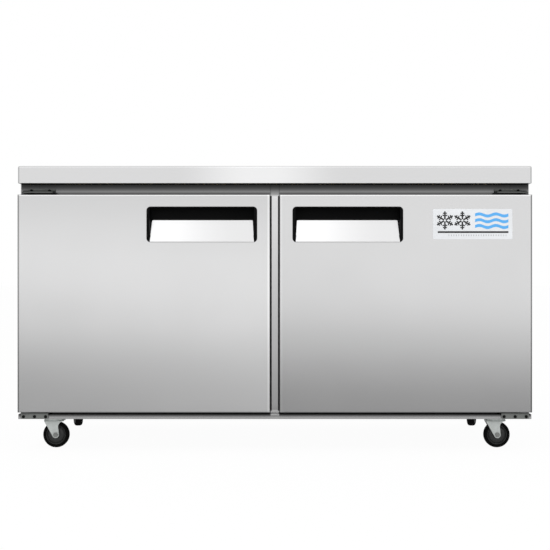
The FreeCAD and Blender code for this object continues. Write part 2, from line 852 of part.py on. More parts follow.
def fork_leg():
    """A leg that sweeps in from the crown and narrows to a round end about the axle."""
    top = CROWN_BOTTOM + FORK_T
    half = CROWN_R - 1
    sweep = half - FORK_FRONT
    axle = (TRAIL, WHEEL_R)
    rear = (-half, top)
    waist = (FORK_FRONT, top - sweep)
    left = tangent_point(rear, axle, FORK_END_R, 1)
    right = tangent_point(waist, axle, FORK_END_R, -1)
    lowest = V(axle[0], 0, axle[1] - FORK_END_R)
    near = sweep * (1 - math.sqrt(0.5))
    middle = V(FORK_FRONT + near, 0, top - near)
    edges = [
        Part.makeLine(V(rear[0], 0, rear[1]), left),
        Part.Arc(left, lowest, right).toShape(),
        Part.makeLine(right, V(waist[0], 0, waist[1])),
        Part.Arc(V(waist[0], 0, waist[1]), middle, V(half, 0, top)).toShape(),
        Part.makeLine(V(half, 0, top), V(rear[0], 0, rear[1])),
    ]
    return Part.Face(Part.Wire(edges)).extrude(V(0, FORK_T, 0))


def caster_fork():
    legs = []
    for y in (FORK_GAP, -FORK_GAP - FORK_T):
        leg = fork_leg()
        leg.translate(V(0, y, 0))
        legs.append(leg)
    width = FORK_GAP + FORK_T
    half = CROWN_R - 1
    bridge = block(-half, half, -width, width, CROWN_BOTTOM, CROWN_BOTTOM + FORK_T)
    dish_z = RACE_BOTTOM - RUNNING - CROWN_H
    dish = Part.makeCylinder(CROWN_R, CROWN_H, V(0, 0, dish_z), Z)
    rim = [e for e in dish.Edges if abs(e.CenterOfMass.z - dish_z) < 0.01]
    dish = dish.makeFillet(CROWN_H / 2, rim)
    king_bore = Part.makeCylinder(AXLE_R + RUNNING, 20, V(0, 0, CROWN_BOTTOM - 5), Z)
    axle_bore = rod(AXLE_R, V(TRAIL, -width - 1, WHEEL_R), V(TRAIL, width + 1, WHEEL_R))
    return join(legs + [bridge, dish]).cut([king_bore, axle_bore])


def caster_axle():
    """Axle bolt with its head at the front and a nut behind."""
    width = FORK_GAP + FORK_T
    shank = rod(AXLE_R, V(TRAIL, -width, WHEEL_R), V(TRAIL, width + 7, WHEEL_R))
    head = hexagon(HEX, 4, V(TRAIL, -width, WHEEL_R), V(0, -1, 0))
    nut = hexagon(HEX, 5, V(TRAIL, width, WHEEL_R), Y)
    return join([shank, head, nut])


def caster_wheel():
    """A solid tyre on a dished hub with a boss, turned about the axle."""
    half = WHEEL_W / 2
    boss = FORK_GAP - 0.1
    bore = AXLE_R + RUNNING
    dish = half - HUB_DISH
    side = [
        (bore, boss),
        (BOSS_R, boss),
        (BOSS_R + 0.5, dish),
        (HUB_R - 3, dish),
        (HUB_R - 2, half - 1),
        (HUB_R, half - 1),
        (HUB_R + 1, half),
        (WHEEL_R - TYRE_CROWN, half),
    ]
    points = [V(r, w, 0) for r, w in side]
    other = [V(r, -w, 0) for r, w in reversed(side)]
    edges = [Part.makeLine(a, b) for a, b in zip(points, points[1:])]
    tread = Part.Arc(points[-1], V(WHEEL_R, 0, 0), other[0])
    edges.append(tread.toShape())
    edges += [Part.makeLine(a, b) for a, b in zip(other, other[1:])]
    edges.append(Part.makeLine(other[-1], points[0]))
    wheel = Part.Face(Part.Wire(edges)).revolve(V(0, 0, 0), Y, 360)
    wheel.translate(V(TRAIL, 0, WHEEL_R))
    return wheel


def caster_plate():
    """Fixed top plate with its ball race and king pin."""
    x = CASTER_BOLT_X + 10
    y = CASTER_BOLT_Y + 10
    plate = rounded_z(-x, x, -y, y, PLATE_BOTTOM, FLOOR_Z, 8)
    race = Part.makeCylinder(CROWN_R - 2, PLATE_BOTTOM - RACE_BOTTOM, V(0, 0, RACE_BOTTOM), Z)
    king_pin = Part.makeCylinder(AXLE_R, 12, V(0, 0, CROWN_BOTTOM - RUNNING), Z)
    head = Part.makeCylinder(9, 1.8, V(0, 0, CROWN_BOTTOM - RUNNING - 1.8), Z)
    return join([plate, race, king_pin, head])


def caster_bolts():
    bolts = []
    for x, y in caster_bolt_places():
        head = hexagon(HEX, 4, V(x, y, PLATE_BOTTOM), V(0, 0, -1))
        bolts.append(join([head, bolt_shank(x, y)]))
    return bolts


# Condensing unit and evaporator

def compressor():
    """Sealed pot on a base plate with four rubber feet and a terminal box."""
    x, y = COMPRESSOR
    z0, z1 = POT_Z
    pot = Part.makeCylinder(POT_R, z1 - z0, V(x, y, z0), Z)
    ends = [e for e in pot.Edges if isinstance(e.Curve, Part.Circle)]
    pot = pot.makeFillet(POT_DOME_R, ends)
    seam = Part.makeCylinder(POT_R + SEAM_RIM, SEAM_H, V(x, y, (z0 + z1) / 2), Z)
    base_z = z0 + 0.5
    base_span = (x - BASE_X, x + BASE_X, y - BASE_Y, y + BASE_Y)
    base = rounded_z(*base_span, base_z - BASE_T, base_z, BASE_CORNER)
    box_x0, box_x1 = TERMINAL_X
    terminal = block(x + box_x0, x + box_x1, y - TERMINAL_Y, y + TERMINAL_Y, *TERMINAL_Z)
    pieces = [pot, seam, base, terminal]
    for side in (-1, 1):
        for end in (-1, 1):
            foot = V(x + side * MOUNT_X, y + end * MOUNT_Y, FLOOR_Z + SHEET)
            pieces.append(Part.makeCylinder(MOUNT_R, MOUNT_H, foot, Z))
    return join(pieces)


def coil_levels(z_span, rows):
    pitch = (z_span[1] - z_span[0]) / rows
    return [z_span[0] + pitch * (step + 0.5) for step in range(rows)]


def coil_ends(x_span, y_span, z_span, rows):
    """The open ends of a coil's tube, lower then upper, both on its +X side."""
    levels = coil_levels(z_span, rows)
    x = x_span[1] - COIL_TUBE_IN
    y = (y_span[0] + y_span[1]) / 2
    return V(x, y, levels[0]), V(x, y, levels[-1])


def finned_coil(x_span, y_span, z_span, rows, fins):
    """An even number of straight tubes joined by U-bends through a pack of thin fins."""
    x0, x1 = x_span
    y0, y1 = y_span
    z0, z1 = z_span
    middle = (y0 + y1) / 2
    path = []
    for step, level in enumerate(coil_levels(z_span, rows)):
        ends = [x1 - COIL_TUBE_IN, x0 + COIL_TUBE_IN]
        if step % 2:
            ends.reverse()
        path += [V(ends[0], middle, level), V(ends[1], middle, level)]
    pieces = [pipe(path, COIL_TUBE_R, COIL_BEND)]
    span = x1 - x0 - 50
    for step in range(fins):
        x = x0 + 25 + span * step / (fins - 1)
        pieces.append(block(x - 0.5, x + 0.5, y0, y1, z0, z1))
    return join(pieces)


def condenser_fan_shroud():
    x, z = COND_FAN
    x0, x1 = CONDENSER_X
    z1 = CONDENSER_Z[1]
    y0 = CONDENSER_Y[1]
    y1 = y0 + SHROUD_DEPTH
    margin = 5
    plate = block(x0 - margin, x1 + margin, y0, y0 + SHROUD_T, FLOOR_Z + SHEET, z1 + margin)
    bore_r = COND_FAN_R + SHROUD_GAP
    ring = rod(bore_r + SHROUD_RIM, V(x, y0, z), V(x, y1, z))
    hole = rod(bore_r, V(x, y0 - 1, z), V(x, y1 + 1, z))
    return join([plate, ring]).cut(hole)


def fan_motor(centre, span_y, arm, arm_y):
    """Motor can with a shaft bore and two mounting arms."""
    x, z = centre
    y0, y1 = span_y
    can = rod(MOTOR_R, V(x, y0, z), V(x, y1, z))
    ends = [e for e in can.Edges if isinstance(e.Curve, Part.Circle)]
    can = can.makeFillet(MOTOR_EDGE_R, ends)
    bar_y = (y0 + y1) / 2
    low_z = z - ARM_H / 2
    high_z = z + ARM_H / 2
    bar = block(x - arm, x + arm, bar_y - ARM_T / 2, bar_y + ARM_T / 2, low_z, high_z)
    pieces = [can, bar]
    for side in (-1, 1):
        outer, inner = sorted((x + side * arm, x + side * (arm - ARM_T)))
        pieces.append(block(outer, inner, min(arm_y, bar_y), max(arm_y, bar_y), low_z, high_z))
    bore = rod(HUB_SHAFT_R + RUNNING, V(x, y0 - 1, z), V(x, y0 + MOTOR_BORE, z))
    return join(pieces).cut(bore)


def fan_blade(centre, radius, hub_y, motor_y, blades):
    """Hub and shaft with pitched blades."""
    x, z = centre
    y0, y1 = hub_y
    hub = rod(FAN_HUB_R, V(x, y0, z), V(x, y1, z))
    pieces = [hub, rod(HUB_SHAFT_R, V(x, y1, z), V(x, motor_y[0] + SHAFT_IN, z))]
    width = radius * BLADE_WIDTH
    middle = (y0 + y1) / 2
    for step in range(blades):
        vane = rounded_y(-width / 2, width / 2, -1, 1, FAN_HUB_R - 5, radius, width * 0.3)
        vane.rotate(V(0, 0, 0), Z, BLADE_PITCH)
        vane.rotate(V(0, 0, 0), Y, 360 * step / blades)
        vane.translate(V(x, middle, z))
        pieces.append(vane)
    return join(pieces)


def refrigerant_lines():
    """Suction line, liquid line with its drier, and discharge line."""
    cx, cy = COMPRESSOR
    wall = cx - POT_R
    cond_low, cond_high = coil_ends(CONDENSER_X, CONDENSER_Y, CONDENSER_Z, CONDENSER_ROWS)
    evap_low, evap_high = coil_ends(EVAP_X, EVAP_Y, EVAP_Z, EVAP_ROWS)
    suction_path = [
        V(wall, cy, SUCTION_Z),
        V(wall - SUCTION_OUT, cy, SUCTION_Z),
        V(wall - SUCTION_OUT, SUCTION[1], SUCTION_RUN_Z),
        V(*SUCTION, SUCTION_RUN_Z),
        V(*SUCTION, evap_high.z),
        evap_high,
    ]
    liquid_path = [
        cond_low,
        cond_low + V(LIQUID_OUT, 0, 0),
        V(cond_low.x + LIQUID_OUT, LIQUID[1], cond_low.z),
        V(*LIQUID, cond_low.z),
        V(*LIQUID, evap_low.z),
        evap_low,
    ]
    discharge_path = [
        V(wall, cy, DISCHARGE_Z),
        V(wall - DISCHARGE_OUT, cy, DISCHARGE_Z),
        V(wall - DISCHARGE_OUT, cond_high.y, cond_high.z),
        cond_high,
    ]
    y = LIQUID[1]
    drier = rod(DRIER_R, V(DRIER_X[0], y, cond_low.z), V(DRIER_X[1], y, cond_low.z))
    ends = [e for e in drier.Edges if isinstance(e.Curve, Part.Circle)]
    drier = drier.makeFillet(DRIER_R / 2, ends)
    return [
        pipe(suction_path, SUCTION_R, 10),
        join([pipe(liquid_path, LIQUID_R, 8), drier]),
        pipe(discharge_path, LIQUID_R, 8),
    ]


def evaporator_cover():
    """Thin hood open at the back, with a ringed fan guard, lower slots and pipe holes."""
    z0, z1 = COVER_Z
    back = LINER_BACK - LINER_T
    outer = block(-COVER_X, COVER_X, COVER_Y, back, z0, z1)
    soft = parallel_edges(outer, X, lambda p: p.y < COVER_Y + 1)
    soft += parallel_edges(outer, Z, lambda p: p.y < COVER_Y + 1)
    outer = outer.makeFillet(COVER_EDGE_R, soft)
    x1 = COVER_X - COVER_T
    inner = block(-x1, x1, COVER_Y + COVER_T, back + 1, z0 + COVER_T, z1 - COVER_T)
    low = (z0 - 1, z0 + COVER_T + 1)
    pipe_y = SUCTION[1]
    half = PIPE_HOLE / 2
    pipes = block(-PIPE_HOLE, PIPE_HOLE, pipe_y - half, pipe_y + half, *low)
    slots = []
    for step in range(COVER_SLOTS):
        x = COVER_SLOT_X + step * COVER_SLOT_PITCH
        slots.append(block(x, x + COVER_SLOT_W, COVER_Y + 12, back - 40, *low))
    return outer.cut([inner, pipes] + fan_guard_openings() + slots)


def fan_guard_openings():
    """Ring-shaped openings in front of the fan, crossed by two bars."""
    x, z = EVAP_FAN
    y0 = COVER_Y - 2
    y1 = COVER_Y + COVER_T + 2
    reach = EVAP_FAN_R
    bars = block(x - reach, x + reach, y0, y1, z - GUARD_BAR, z + GUARD_BAR)
    bars = bars.fuse(block(x - GUARD_BAR, x + GUARD_BAR, y0, y1, z - reach, z + reach))
    openings = []
    for radius in GUARD_RADII:
        ring = rod(radius, V(x, y0 + 1, z), V(x, y1 - 1, z))
        core = rod(radius - GUARD_GAP, V(x, y0, z), V(x, y1, z))
        openings.append(ring.cut(core).cut(bars))
    return openings


def rear_grille():
    """Louvred plate over the machine compartment, screwed to the back panel."""
    y0 = BODY_BACK - SHEET
    x = MACHINE_X + 20
    plate = rounded_y(-x, x, y0, BODY_BACK, FLOOR_Z + 4, MACHINE_TOP + 16, 4)
    y1 = BODY_BACK + 1
    first_x = -((SLOT_COLUMNS - 1) * SLOT_PITCH_X + SLOT_L) / 2
    slots = []
    for column in range(SLOT_COLUMNS):
        x0 = first_x + column * SLOT_PITCH_X
        for row in range(SLOT_ROWS):
            z0 = SLOT_Z + row * SLOT_PITCH_Z
            slots.append(rounded_y(x0, x0 + SLOT_L, y0 - 1, y1, z0, z0 + SLOT_H, SLOT_H * 0.48))
    cord_x, cord_z = CORD_EXIT
    cord = rod(CORD_HOLE_R, V(cord_x, y0 - 1, cord_z), V(cord_x, y1, cord_z))
    return plate.cut(slots + [cord] + screw_holes())


def drain_pan():
    x0, x1 = PAN_X
    y0, y1 = PAN_Y
    z0 = FLOOR_Z + SHEET + 1
    tray = rounded_z(x0, x1, y0, y1, z0, z0 + PAN_H, 10)
    return tray.cut(rounded_z(x0 + 2, x1 - 2, y0 + 2, y1 - 2, z0 + 2, z0 + PAN_H + 1, 8))


def thermostat_housing():
    x, z = KNOB
    front = COVER_Y - HOUSING_T
    span_z = (z - HOUSING_Z, z + HOUSING_Z)
    body = rounded_y(x - HOUSING_X, x + HOUSING_X, front, COVER_Y, *span_z, 6)
    bore = rod(HUB_SHAFT_R + RUNNING, V(x, front - 1, z), V(x, COVER_Y - 4, z))
    return body.cut(bore)


def thermostat_knob():
    """Round dial with a raised grip bar and a short shaft."""
    x, z = KNOB
    face = COVER_Y - HOUSING_T - DIAL_GAP
    dial = rod(KNOB_R, V(x, face, z), V(x, face - KNOB_T, z))
    reach = KNOB_R - 2
    grip_y = (face - GRIP_H, face - KNOB_T + 1)
    grip = rounded_y(x - GRIP_HALF, x + GRIP_HALF, *grip_y, z - reach, z + reach, 3)
    shaft = rod(HUB_SHAFT_R, V(x, face, z), V(x, COVER_Y - 5, z))
    return join([dial, grip, shaft])


def power_cord():
    """Cord leaving the machine compartment, coiled flat on the back, and its plug."""
    x, z = CORD_EXIT
    coil_x, coil_z = CORD_COIL
    y = BODY_BACK + CORD_OFF
    points = [V(x, BODY_BACK - 30, z), V(x, BODY_BACK - 8, z), V(x, y - 4, z + 6), V(x, y, z + 30)]
    points.append(V(coil_x + CORD_COIL_R + 4, y, coil_z - 120))
    for step in range(CORD_TURNS * 9 + 1):
        angle = math.radians(step * 40)
        reach = CORD_COIL_R - step * CORD_CLOSING
        points.append(V(coil_x + reach * math.cos(angle), y, coil_z + reach * math.sin(angle)))
    curve = Part.BSplineCurve()
    curve.interpolate(points)
    ring = Part.Wire(Part.makeCircle(CORD_R, points[0], Y))
    cord = Part.Wire(curve.toShape()).makePipeShell([ring], True, True)
    end = points[-1]
    plug = rounded_y(end.x - 14, end.x + 14, y - 7, y + 9, end.z - 22, end.z + 14, 6)
    return join([cord, plug])


def main():
    os.makedirs("parts", exist_ok=True)

    right = side_panel()
    save("right_side_panel", right)
    save("left_side_panel", mirrored(right))
    save("back_panel", back_panel())
    save("bottom_panel", bottom_panel())
    save("worktop", worktop())
    save("inner_liner", inner_liner())
    save("foam_insulation", *foam_insulation())
    save("machine_housing", machine_housing())
    save("face_frame", face_frame())
    save("centre_mullion", centre_mullion())
    save("rear_grille", rear_grille())

    brackets = [top_bracket(), low_bracket()]
    save("hinge_brackets", *brackets, *[mirrored(one) for one in brackets])
    pins = [top_pin(), low_pin()]
    save("hinge_pins", *pins, *[mirrored(one) for one in pins])
    save("cabinet_screws", *all_screws())

    doors = {
        "door_skin": [door_skin()],
        "door_liner": [door_liner()],
        "door_foam": [door_foam()],
        "door_gasket": [door_gasket()],
        "handle_pocket": [handle_pocket()],
        "handle_plate": [handle_plate()],
        "door_hinge_inserts": hinge_inserts(),
    }
    for name, solids in doors.items():
        save(name + "_right", *solids)
        save(name + "_left", *[mirrored(one) for one in solids])
    save("door_label", door_label())

    shelf = shelf_right()
    save("shelf_right", shelf)
    save("shelf_left", mirrored(shelf))
    save("shelf_pilasters", *[pilaster(*place) for place in pilaster_places()])
    save("shelf_clips", *shelf_clips())

    fork = caster_fork()
    axle = caster_axle()
    wheel = caster_wheel()
    plate = caster_plate()
    for name, spot in CASTERS.items():
        save("caster_fork_" + name, placed(fork, spot))
        save("caster_axle_" + name, placed(axle, spot))
        save("caster_wheel_" + name, placed(wheel, spot))
    plates = [placed(plate, (x, y, 0)).cut(bolt_holes()) for x, y, _ in CASTERS.values()]
    save("caster_plates", *plates)
    save("caster_bolts", *caster_bolts())

    save("compressor", compressor())
    condenser = finned_coil(CONDENSER_X, CONDENSER_Y, CONDENSER_Z, CONDENSER_ROWS, COIL_FINS)
    save("condenser_coil", condenser)
    save("condenser_fan_shroud", condenser_fan_shroud())
    shroud_y = CONDENSER_Y[1] + SHROUD_T
    cond_arm = COND_FAN_R + SHROUD_GAP + SHROUD_RIM + ARM_T
    cond_motor = fan_motor(COND_FAN, COND_MOTOR_Y, cond_arm, shroud_y)
    evap_motor = fan_motor(EVAP_FAN, EVAP_MOTOR_Y, EVAP_ARM, LINER_BACK - LINER_T)
    save("fan_motors", cond_motor, evap_motor)
    save("condenser_fan_blade", fan_blade(COND_FAN, COND_FAN_R, COND_HUB_Y, COND_MOTOR_Y, 5))
    save("evaporator_fan_blade", fan_blade(EVAP_FAN, EVAP_FAN_R, EVAP_HUB_Y, EVAP_MOTOR_Y, 4))
    save("refrigerant_lines", *refrigerant_lines())
    save("evaporator_coil", finned_coil(EVAP_X, EVAP_Y, EVAP_Z, EVAP_ROWS, COIL_FINS))
    save("evaporator_cover", evaporator_cover())
    save("drain_pan", drain_pan())
    save("thermostat_housing", thermostat_housing())
    save("thermostat_knob", thermostat_knob())
    save("power_cord", power_cord())


main()
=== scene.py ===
import bpy
import bmesh
import json
import math
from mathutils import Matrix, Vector


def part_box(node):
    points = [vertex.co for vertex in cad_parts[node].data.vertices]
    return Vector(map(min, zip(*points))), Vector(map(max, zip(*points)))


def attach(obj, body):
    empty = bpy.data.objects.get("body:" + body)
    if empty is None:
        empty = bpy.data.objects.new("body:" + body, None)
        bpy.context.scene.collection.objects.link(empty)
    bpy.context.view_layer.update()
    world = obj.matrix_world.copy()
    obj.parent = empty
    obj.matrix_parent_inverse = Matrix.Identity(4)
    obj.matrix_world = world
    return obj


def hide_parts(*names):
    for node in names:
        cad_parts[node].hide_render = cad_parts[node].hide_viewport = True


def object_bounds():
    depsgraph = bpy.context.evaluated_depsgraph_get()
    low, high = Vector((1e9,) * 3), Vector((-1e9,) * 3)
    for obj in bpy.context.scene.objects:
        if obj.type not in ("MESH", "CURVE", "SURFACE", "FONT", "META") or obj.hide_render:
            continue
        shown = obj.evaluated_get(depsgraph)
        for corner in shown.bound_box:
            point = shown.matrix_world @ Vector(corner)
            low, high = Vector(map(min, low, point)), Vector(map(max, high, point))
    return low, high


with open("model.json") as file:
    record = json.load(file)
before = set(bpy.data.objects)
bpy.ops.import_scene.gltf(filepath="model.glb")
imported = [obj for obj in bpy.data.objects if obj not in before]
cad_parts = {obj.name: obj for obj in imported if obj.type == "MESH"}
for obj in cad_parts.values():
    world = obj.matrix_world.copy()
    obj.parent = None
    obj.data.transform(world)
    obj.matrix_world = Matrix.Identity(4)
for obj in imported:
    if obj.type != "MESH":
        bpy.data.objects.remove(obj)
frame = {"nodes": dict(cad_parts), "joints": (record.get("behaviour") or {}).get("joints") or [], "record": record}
cad_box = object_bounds()
NODES = frame["nodes"]
CORNERS = ("front_left", "front_right", "rear_left", "rear_right")
SIDES = ("left", "right")
MM = 0.001
X = Vector((1, 0, 0))
Y = Vector((0, 1, 0))
Z = Vector((0, 0, 1))


def low(node):
    return Vector(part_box(node)[0])


def high(node):
    return Vector(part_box(node)[1])


# ---------------------------------------------------------------- node trees and materials

class Tree:
    """Short calls that add and link shader nodes."""

    def __init__(self, tree):
        self.nodes = tree.nodes
        self.links = tree.links

    def add(self, kind, **settings):
        node = self.nodes.new(kind)
        for key, value in settings.items():
            setattr(node, key, value)
        return node

    def join(self, output, socket):
        self.links.new(output, socket)

    def feed(self, socket, value):
        """Links an output, or stores a plain value."""
        if isinstance(value, bpy.types.NodeSocket):
            self.links.new(value, socket)
        else:
            socket.default_value = value

    def math(self, operation, a, b=0.0):
        node = self.add("ShaderNodeMath", operation=operation)
        for socket, value in zip(node.inputs, (a, b)):
            self.feed(socket, value)
        return node.outputs[0]

    def vector(self, operation, a, b):
        node = self.add("ShaderNodeVectorMath", operation=operation)
        for socket, value in zip(node.inputs, (a, b)):
            self.feed(socket, value)
        return node.outputs["Value" if operation == "DOT_PRODUCT" else "Vector"]

    def axes(self, vector):
        node = self.add("ShaderNodeSeparateXYZ")
        self.join(vector, node.inputs[0])
        return node.outputs[0], node.outputs[1], node.outputs[2]

    def span(self, value, low_in, high_in, low_out, high_out, smooth=False):
        """Maps low_in..high_in to low_out..high_out and holds the ends."""
        node = self.add("ShaderNodeMapRange")
        if smooth:
            node.interpolation_type = "SMOOTHSTEP"
        self.feed(node.inputs["Value"], value)
        for name, number in zip(("From Min", "From Max", "To Min", "To Max"),
                                (low_in, high_in, low_out, high_out)):
            node.inputs[name].default_value = number
        return node.outputs["Result"]

    def curve(self, value, low_in, high_in, levels):
        """A smooth line through evenly spaced levels from low_in to high_in."""
        peak = max(levels)
        ramp = self.add("ShaderNodeValToRGB")
        ramp.color_ramp.interpolation = "CARDINAL"
        stops = ramp.color_ramp.elements
        while len(stops) < len(levels):
            stops.new(0.5)
        for index, level in enumerate(levels):
            stops[index].position = index / (len(levels) - 1)
            stops[index].color = (level / peak, level / peak, level / peak, 1)
        self.join(self.span(value, low_in, high_in, 0.0, 1.0), ramp.inputs["Fac"])
        return self.math("MULTIPLY", ramp.outputs["Color"], peak)

    def mix(self, amount, first, second, blend="MIX"):
        node = self.add("ShaderNodeMix", data_type="RGBA", blend_type=blend)
        self.feed(node.inputs["Factor"], amount)
        self.feed(node.inputs["A"], first)
        self.feed(node.inputs["B"], second)
        return node.outputs["Result"]


class Shader(Tree):
    """One principled material. Noise and cells work in the piece's own metres."""

    def __init__(self, name, color, roughness, metallic=0.0):
        self.mat = bpy.data.materials.new(name)
        self.mat.use_nodes = True
        super().__init__(self.mat.node_tree)
        self.bsdf = self.nodes["Principled BSDF"]
        self.output = self.nodes["Material Output"]
        self.set("Base Color", (*color, 1))
        self.set("Roughness", roughness)
        self.set("Metallic", metallic)
        self.color = color
        self.place = self.add("ShaderNodeTexCoord").outputs["Object"]

    def set(self, socket, value):
        self.bsdf.inputs[socket].default_value = value

    def use(self, socket, output):
        self.links.new(output, self.bsdf.inputs[socket])

    def scaled(self, scale):
        node = self.add("ShaderNodeMapping")
        self.join(self.place, node.inputs["Vector"])
        node.inputs["Scale"].default_value = scale
        return node.outputs["Vector"]

    def noise(self, scale, detail=2.0, rough=0.5):
        """Noise from 0 to 1. A scale of three numbers stretches it."""
        node = self.add("ShaderNodeTexNoise")
        node.inputs["Detail"].default_value = detail
        node.inputs["Roughness"].default_value = rough
        if isinstance(scale, tuple):
            self.join(self.scaled(scale), node.inputs["Vector"])
            node.inputs["Scale"].default_value = 1.0
        else:
            self.join(self.place, node.inputs["Vector"])
            node.inputs["Scale"].default_value = scale
        return node.outputs["Fac"]

    def cells(self, scale, output="Color"):
        node = self.add("ShaderNodeTexVoronoi")
        self.join(self.place, node.inputs["Vector"])
        node.inputs["Scale"].default_value = scale
        return node.outputs[output]

    def tint(self, amount, factor):
        """The base colour, brighter or darker where factor (0 to 1) is high or low."""
        dark = tuple(channel * (1 - amount) for channel in self.color)
        light = tuple(min(1.0, channel * (1 + amount)) for channel in self.color)
        return self.mix(factor, (*dark, 1), (*light, 1))

    def bump(self, height, distance, strength=1.0, normal=None):
        node = self.add("ShaderNodeBump")
        self.join(height, node.inputs["Height"])
        node.inputs["Distance"].default_value = distance
        node.inputs["Strength"].default_value = strength
        if normal:
            self.join(normal, node.inputs["Normal"])
        return node.outputs["Normal"]

    def true_normal(self):
        return self.add("ShaderNodeNewGeometry").outputs["Normal"]

    def edge_wear(self, radius, amount):
        """0 on flat faces, up to amount where a rounded normal leaves the true one."""
        bevel = self.add("ShaderNodeBevel", samples=4)
        bevel.inputs["Radius"].default_value = radius
        dot = self.vector("DOT_PRODUCT", bevel.outputs["Normal"], self.true_normal())
        return self.span(dot, 0.7, 1.0, amount, 0.0)

    def open_sky(self, distance, floor=0.0):
        """1 in the open, down to floor in folds and gaps narrower than distance: the factor for painted shade."""
        near = self.add("ShaderNodeAmbientOcclusion", samples=6)
        near.inputs["Distance"].default_value = distance
        return self.span(near.outputs["AO"], 0.12, 0.95, floor, 1.0)

    def shade(self, color, distance, floor=0.0):
        """Paints shade into a colour: darker in folds and gaps."""
        return self.mix(1.0, color, self.open_sky(distance, floor), "MULTIPLY")


STEEL = (0.745, 0.745, 0.748)
SATIN = 0.165


def satin_steel(name, grain, color=STEEL, roughness=SATIN, painted_light=None, bow=None, fold_light=0.0):
    """Stainless sheet: a very fine one-way grain, soft smudges, worn edges, painted shade in folds.

    painted_light(shader) gives a factor of painted reflections and shade; bow is (tilt, tilt per metre along X),
    the small lean of a sheet that isn't quite flat; fold_light keeps the painted shade in folds from going black.
    """
    s = Shader(name, color, roughness, 1.0)
    fine = [2600.0, 2600.0, 2600.0]
    fine[grain] = 22.0
    lines = s.noise(tuple(fine), 2.0, 0.6)
    smudge = s.noise(2.6, 3.0, 0.55)
    tone = s.math("ADD", s.span(lines, 0.25, 0.75, 0.3, 0.7), s.edge_wear(0.0012, 0.5))
    # Painted shade in folds, times the painted reflections and shade of painted_light, on the colour and the
    # specular tint.
    level = s.open_sky(0.03, fold_light)
    if painted_light:
        level = s.math("MULTIPLY", level, painted_light(s))
    s.use("Base Color", s.mix(1.0, s.tint(0.02, tone), level, "MULTIPLY"))
    s.use("Specular Tint", level)
    rough = s.math("ADD", s.span(lines, 0.3, 0.7, -0.012, 0.012), roughness)
    s.use("Roughness", s.math("ADD", rough, s.span(smudge, 0.35, 0.65, -0.008, 0.014)))
    leaning = None
    if bow:
        across, _, _ = s.axes(s.place)
        lean = s.math("ADD", s.math("MULTIPLY", across, bow[1]), bow[0])
        up = s.add("ShaderNodeCombineXYZ")
        s.join(lean, up.inputs["Z"])
        leaning = s.vector("NORMALIZE", s.vector("ADD", s.true_normal(), up.outputs[0]), (0, 0, 0))
    s.use("Normal", s.bump(lines, 0.000004, 0.4, leaning))
    return s.mat


# Painted light and shade of the steel front: factors on its colour for painted reflections, highlights and shade.
# A row's levels are evenly spaced, upwards or to the right.

INNER_X = low("door_skin_right").x
OUTER_X = high("door_skin_right").x
DOOR_LOW = low("door_skin_right").z
DOOR_HIGH = high("door_skin_right").z
BRACKET_TOP = high("hinge_brackets").z
LEFT_DOOR = (0.97, 0.925, 0.94, 1.01, 1.045, 1.07, 1.055, 1.0, 0.94)
RIGHT_DOOR = (0.84, 0.90, 1.015, 1.085, 1.11, 1.07, 1.035, 1.02, 1.01)
PLATE = (0.89, 0.888, 0.88, 0.865, 0.83, 0.795, 0.765, 0.742, 0.726, 0.721, 0.721)
MULLION = (0.83, 0.83, 0.85, 0.84, 0.845, 0.875, 0.93, 1.0, 1.0)
RECESS = (1.0, 0.85, 0.6, 0.47, 0.40, 0.31, 0.21, 0.14, 0.095, 0.066, 0.066, 0.02)
SILL = (1.0, 1.05, 0.95, 0.63, 0.28, 0.13)
LIP_LEVEL = 1.02
LIP_PAINTED_HIGHLIGHT = 1.27
LIP_HIGHLIGHT_X = -0.045
PAINTED_EDGE_SHADE = 0.3
CREST_PAINTED_HIGHLIGHT = 1.22
SEAL_RISE = 6.5 * MM
SEAL_PAINTED_SHADOW = 0.62
UNDER_PAINTED_SHADE = 0.8
GAP_BRIGHT = 1.26
GAP_FOOT = 1.6
SILL_GAP = 0.75
BRACKET_LOW = 0.5
BRACKET_RIM = 0.25


def behind_doors(s):
    """1 behind the doors, 0 in the gap between them."""
    across, _, _ = s.axes(s.place)
    return s.span(s.math("ABSOLUTE", across), INNER_X - 3 * MM, INNER_X + 1 * MM, 0.0, 1.0)


def lip_painted_highlight(s):
    """A painted highlight, a soft brighter zone in the middle of the worktop's front edge, and painted shade on
    its duller crest.
    """
    across, _, _ = s.axes(s.place)
    _, forward, upward = s.axes(s.true_normal())
    offset = s.math("ABSOLUTE", s.math("SUBTRACT", across, LIP_HIGHLIGHT_X))
    front = s.span(forward, -0.9, -0.4, 1.0, 0.0)
    highlight = s.math("MULTIPLY", s.span(offset, 0.03, 0.26, 1.0, 0.0, True), front)
    crest = s.math("ABSOLUTE", s.math("MULTIPLY", forward, upward))
    dull = s.span(crest, 0.05, 0.5, 1.0, 0.72)
    return s.math("MULTIPLY", s.span(highlight, 0.0, 1.0, LIP_LEVEL, LIP_PAINTED_HIGHLIGHT), dull)


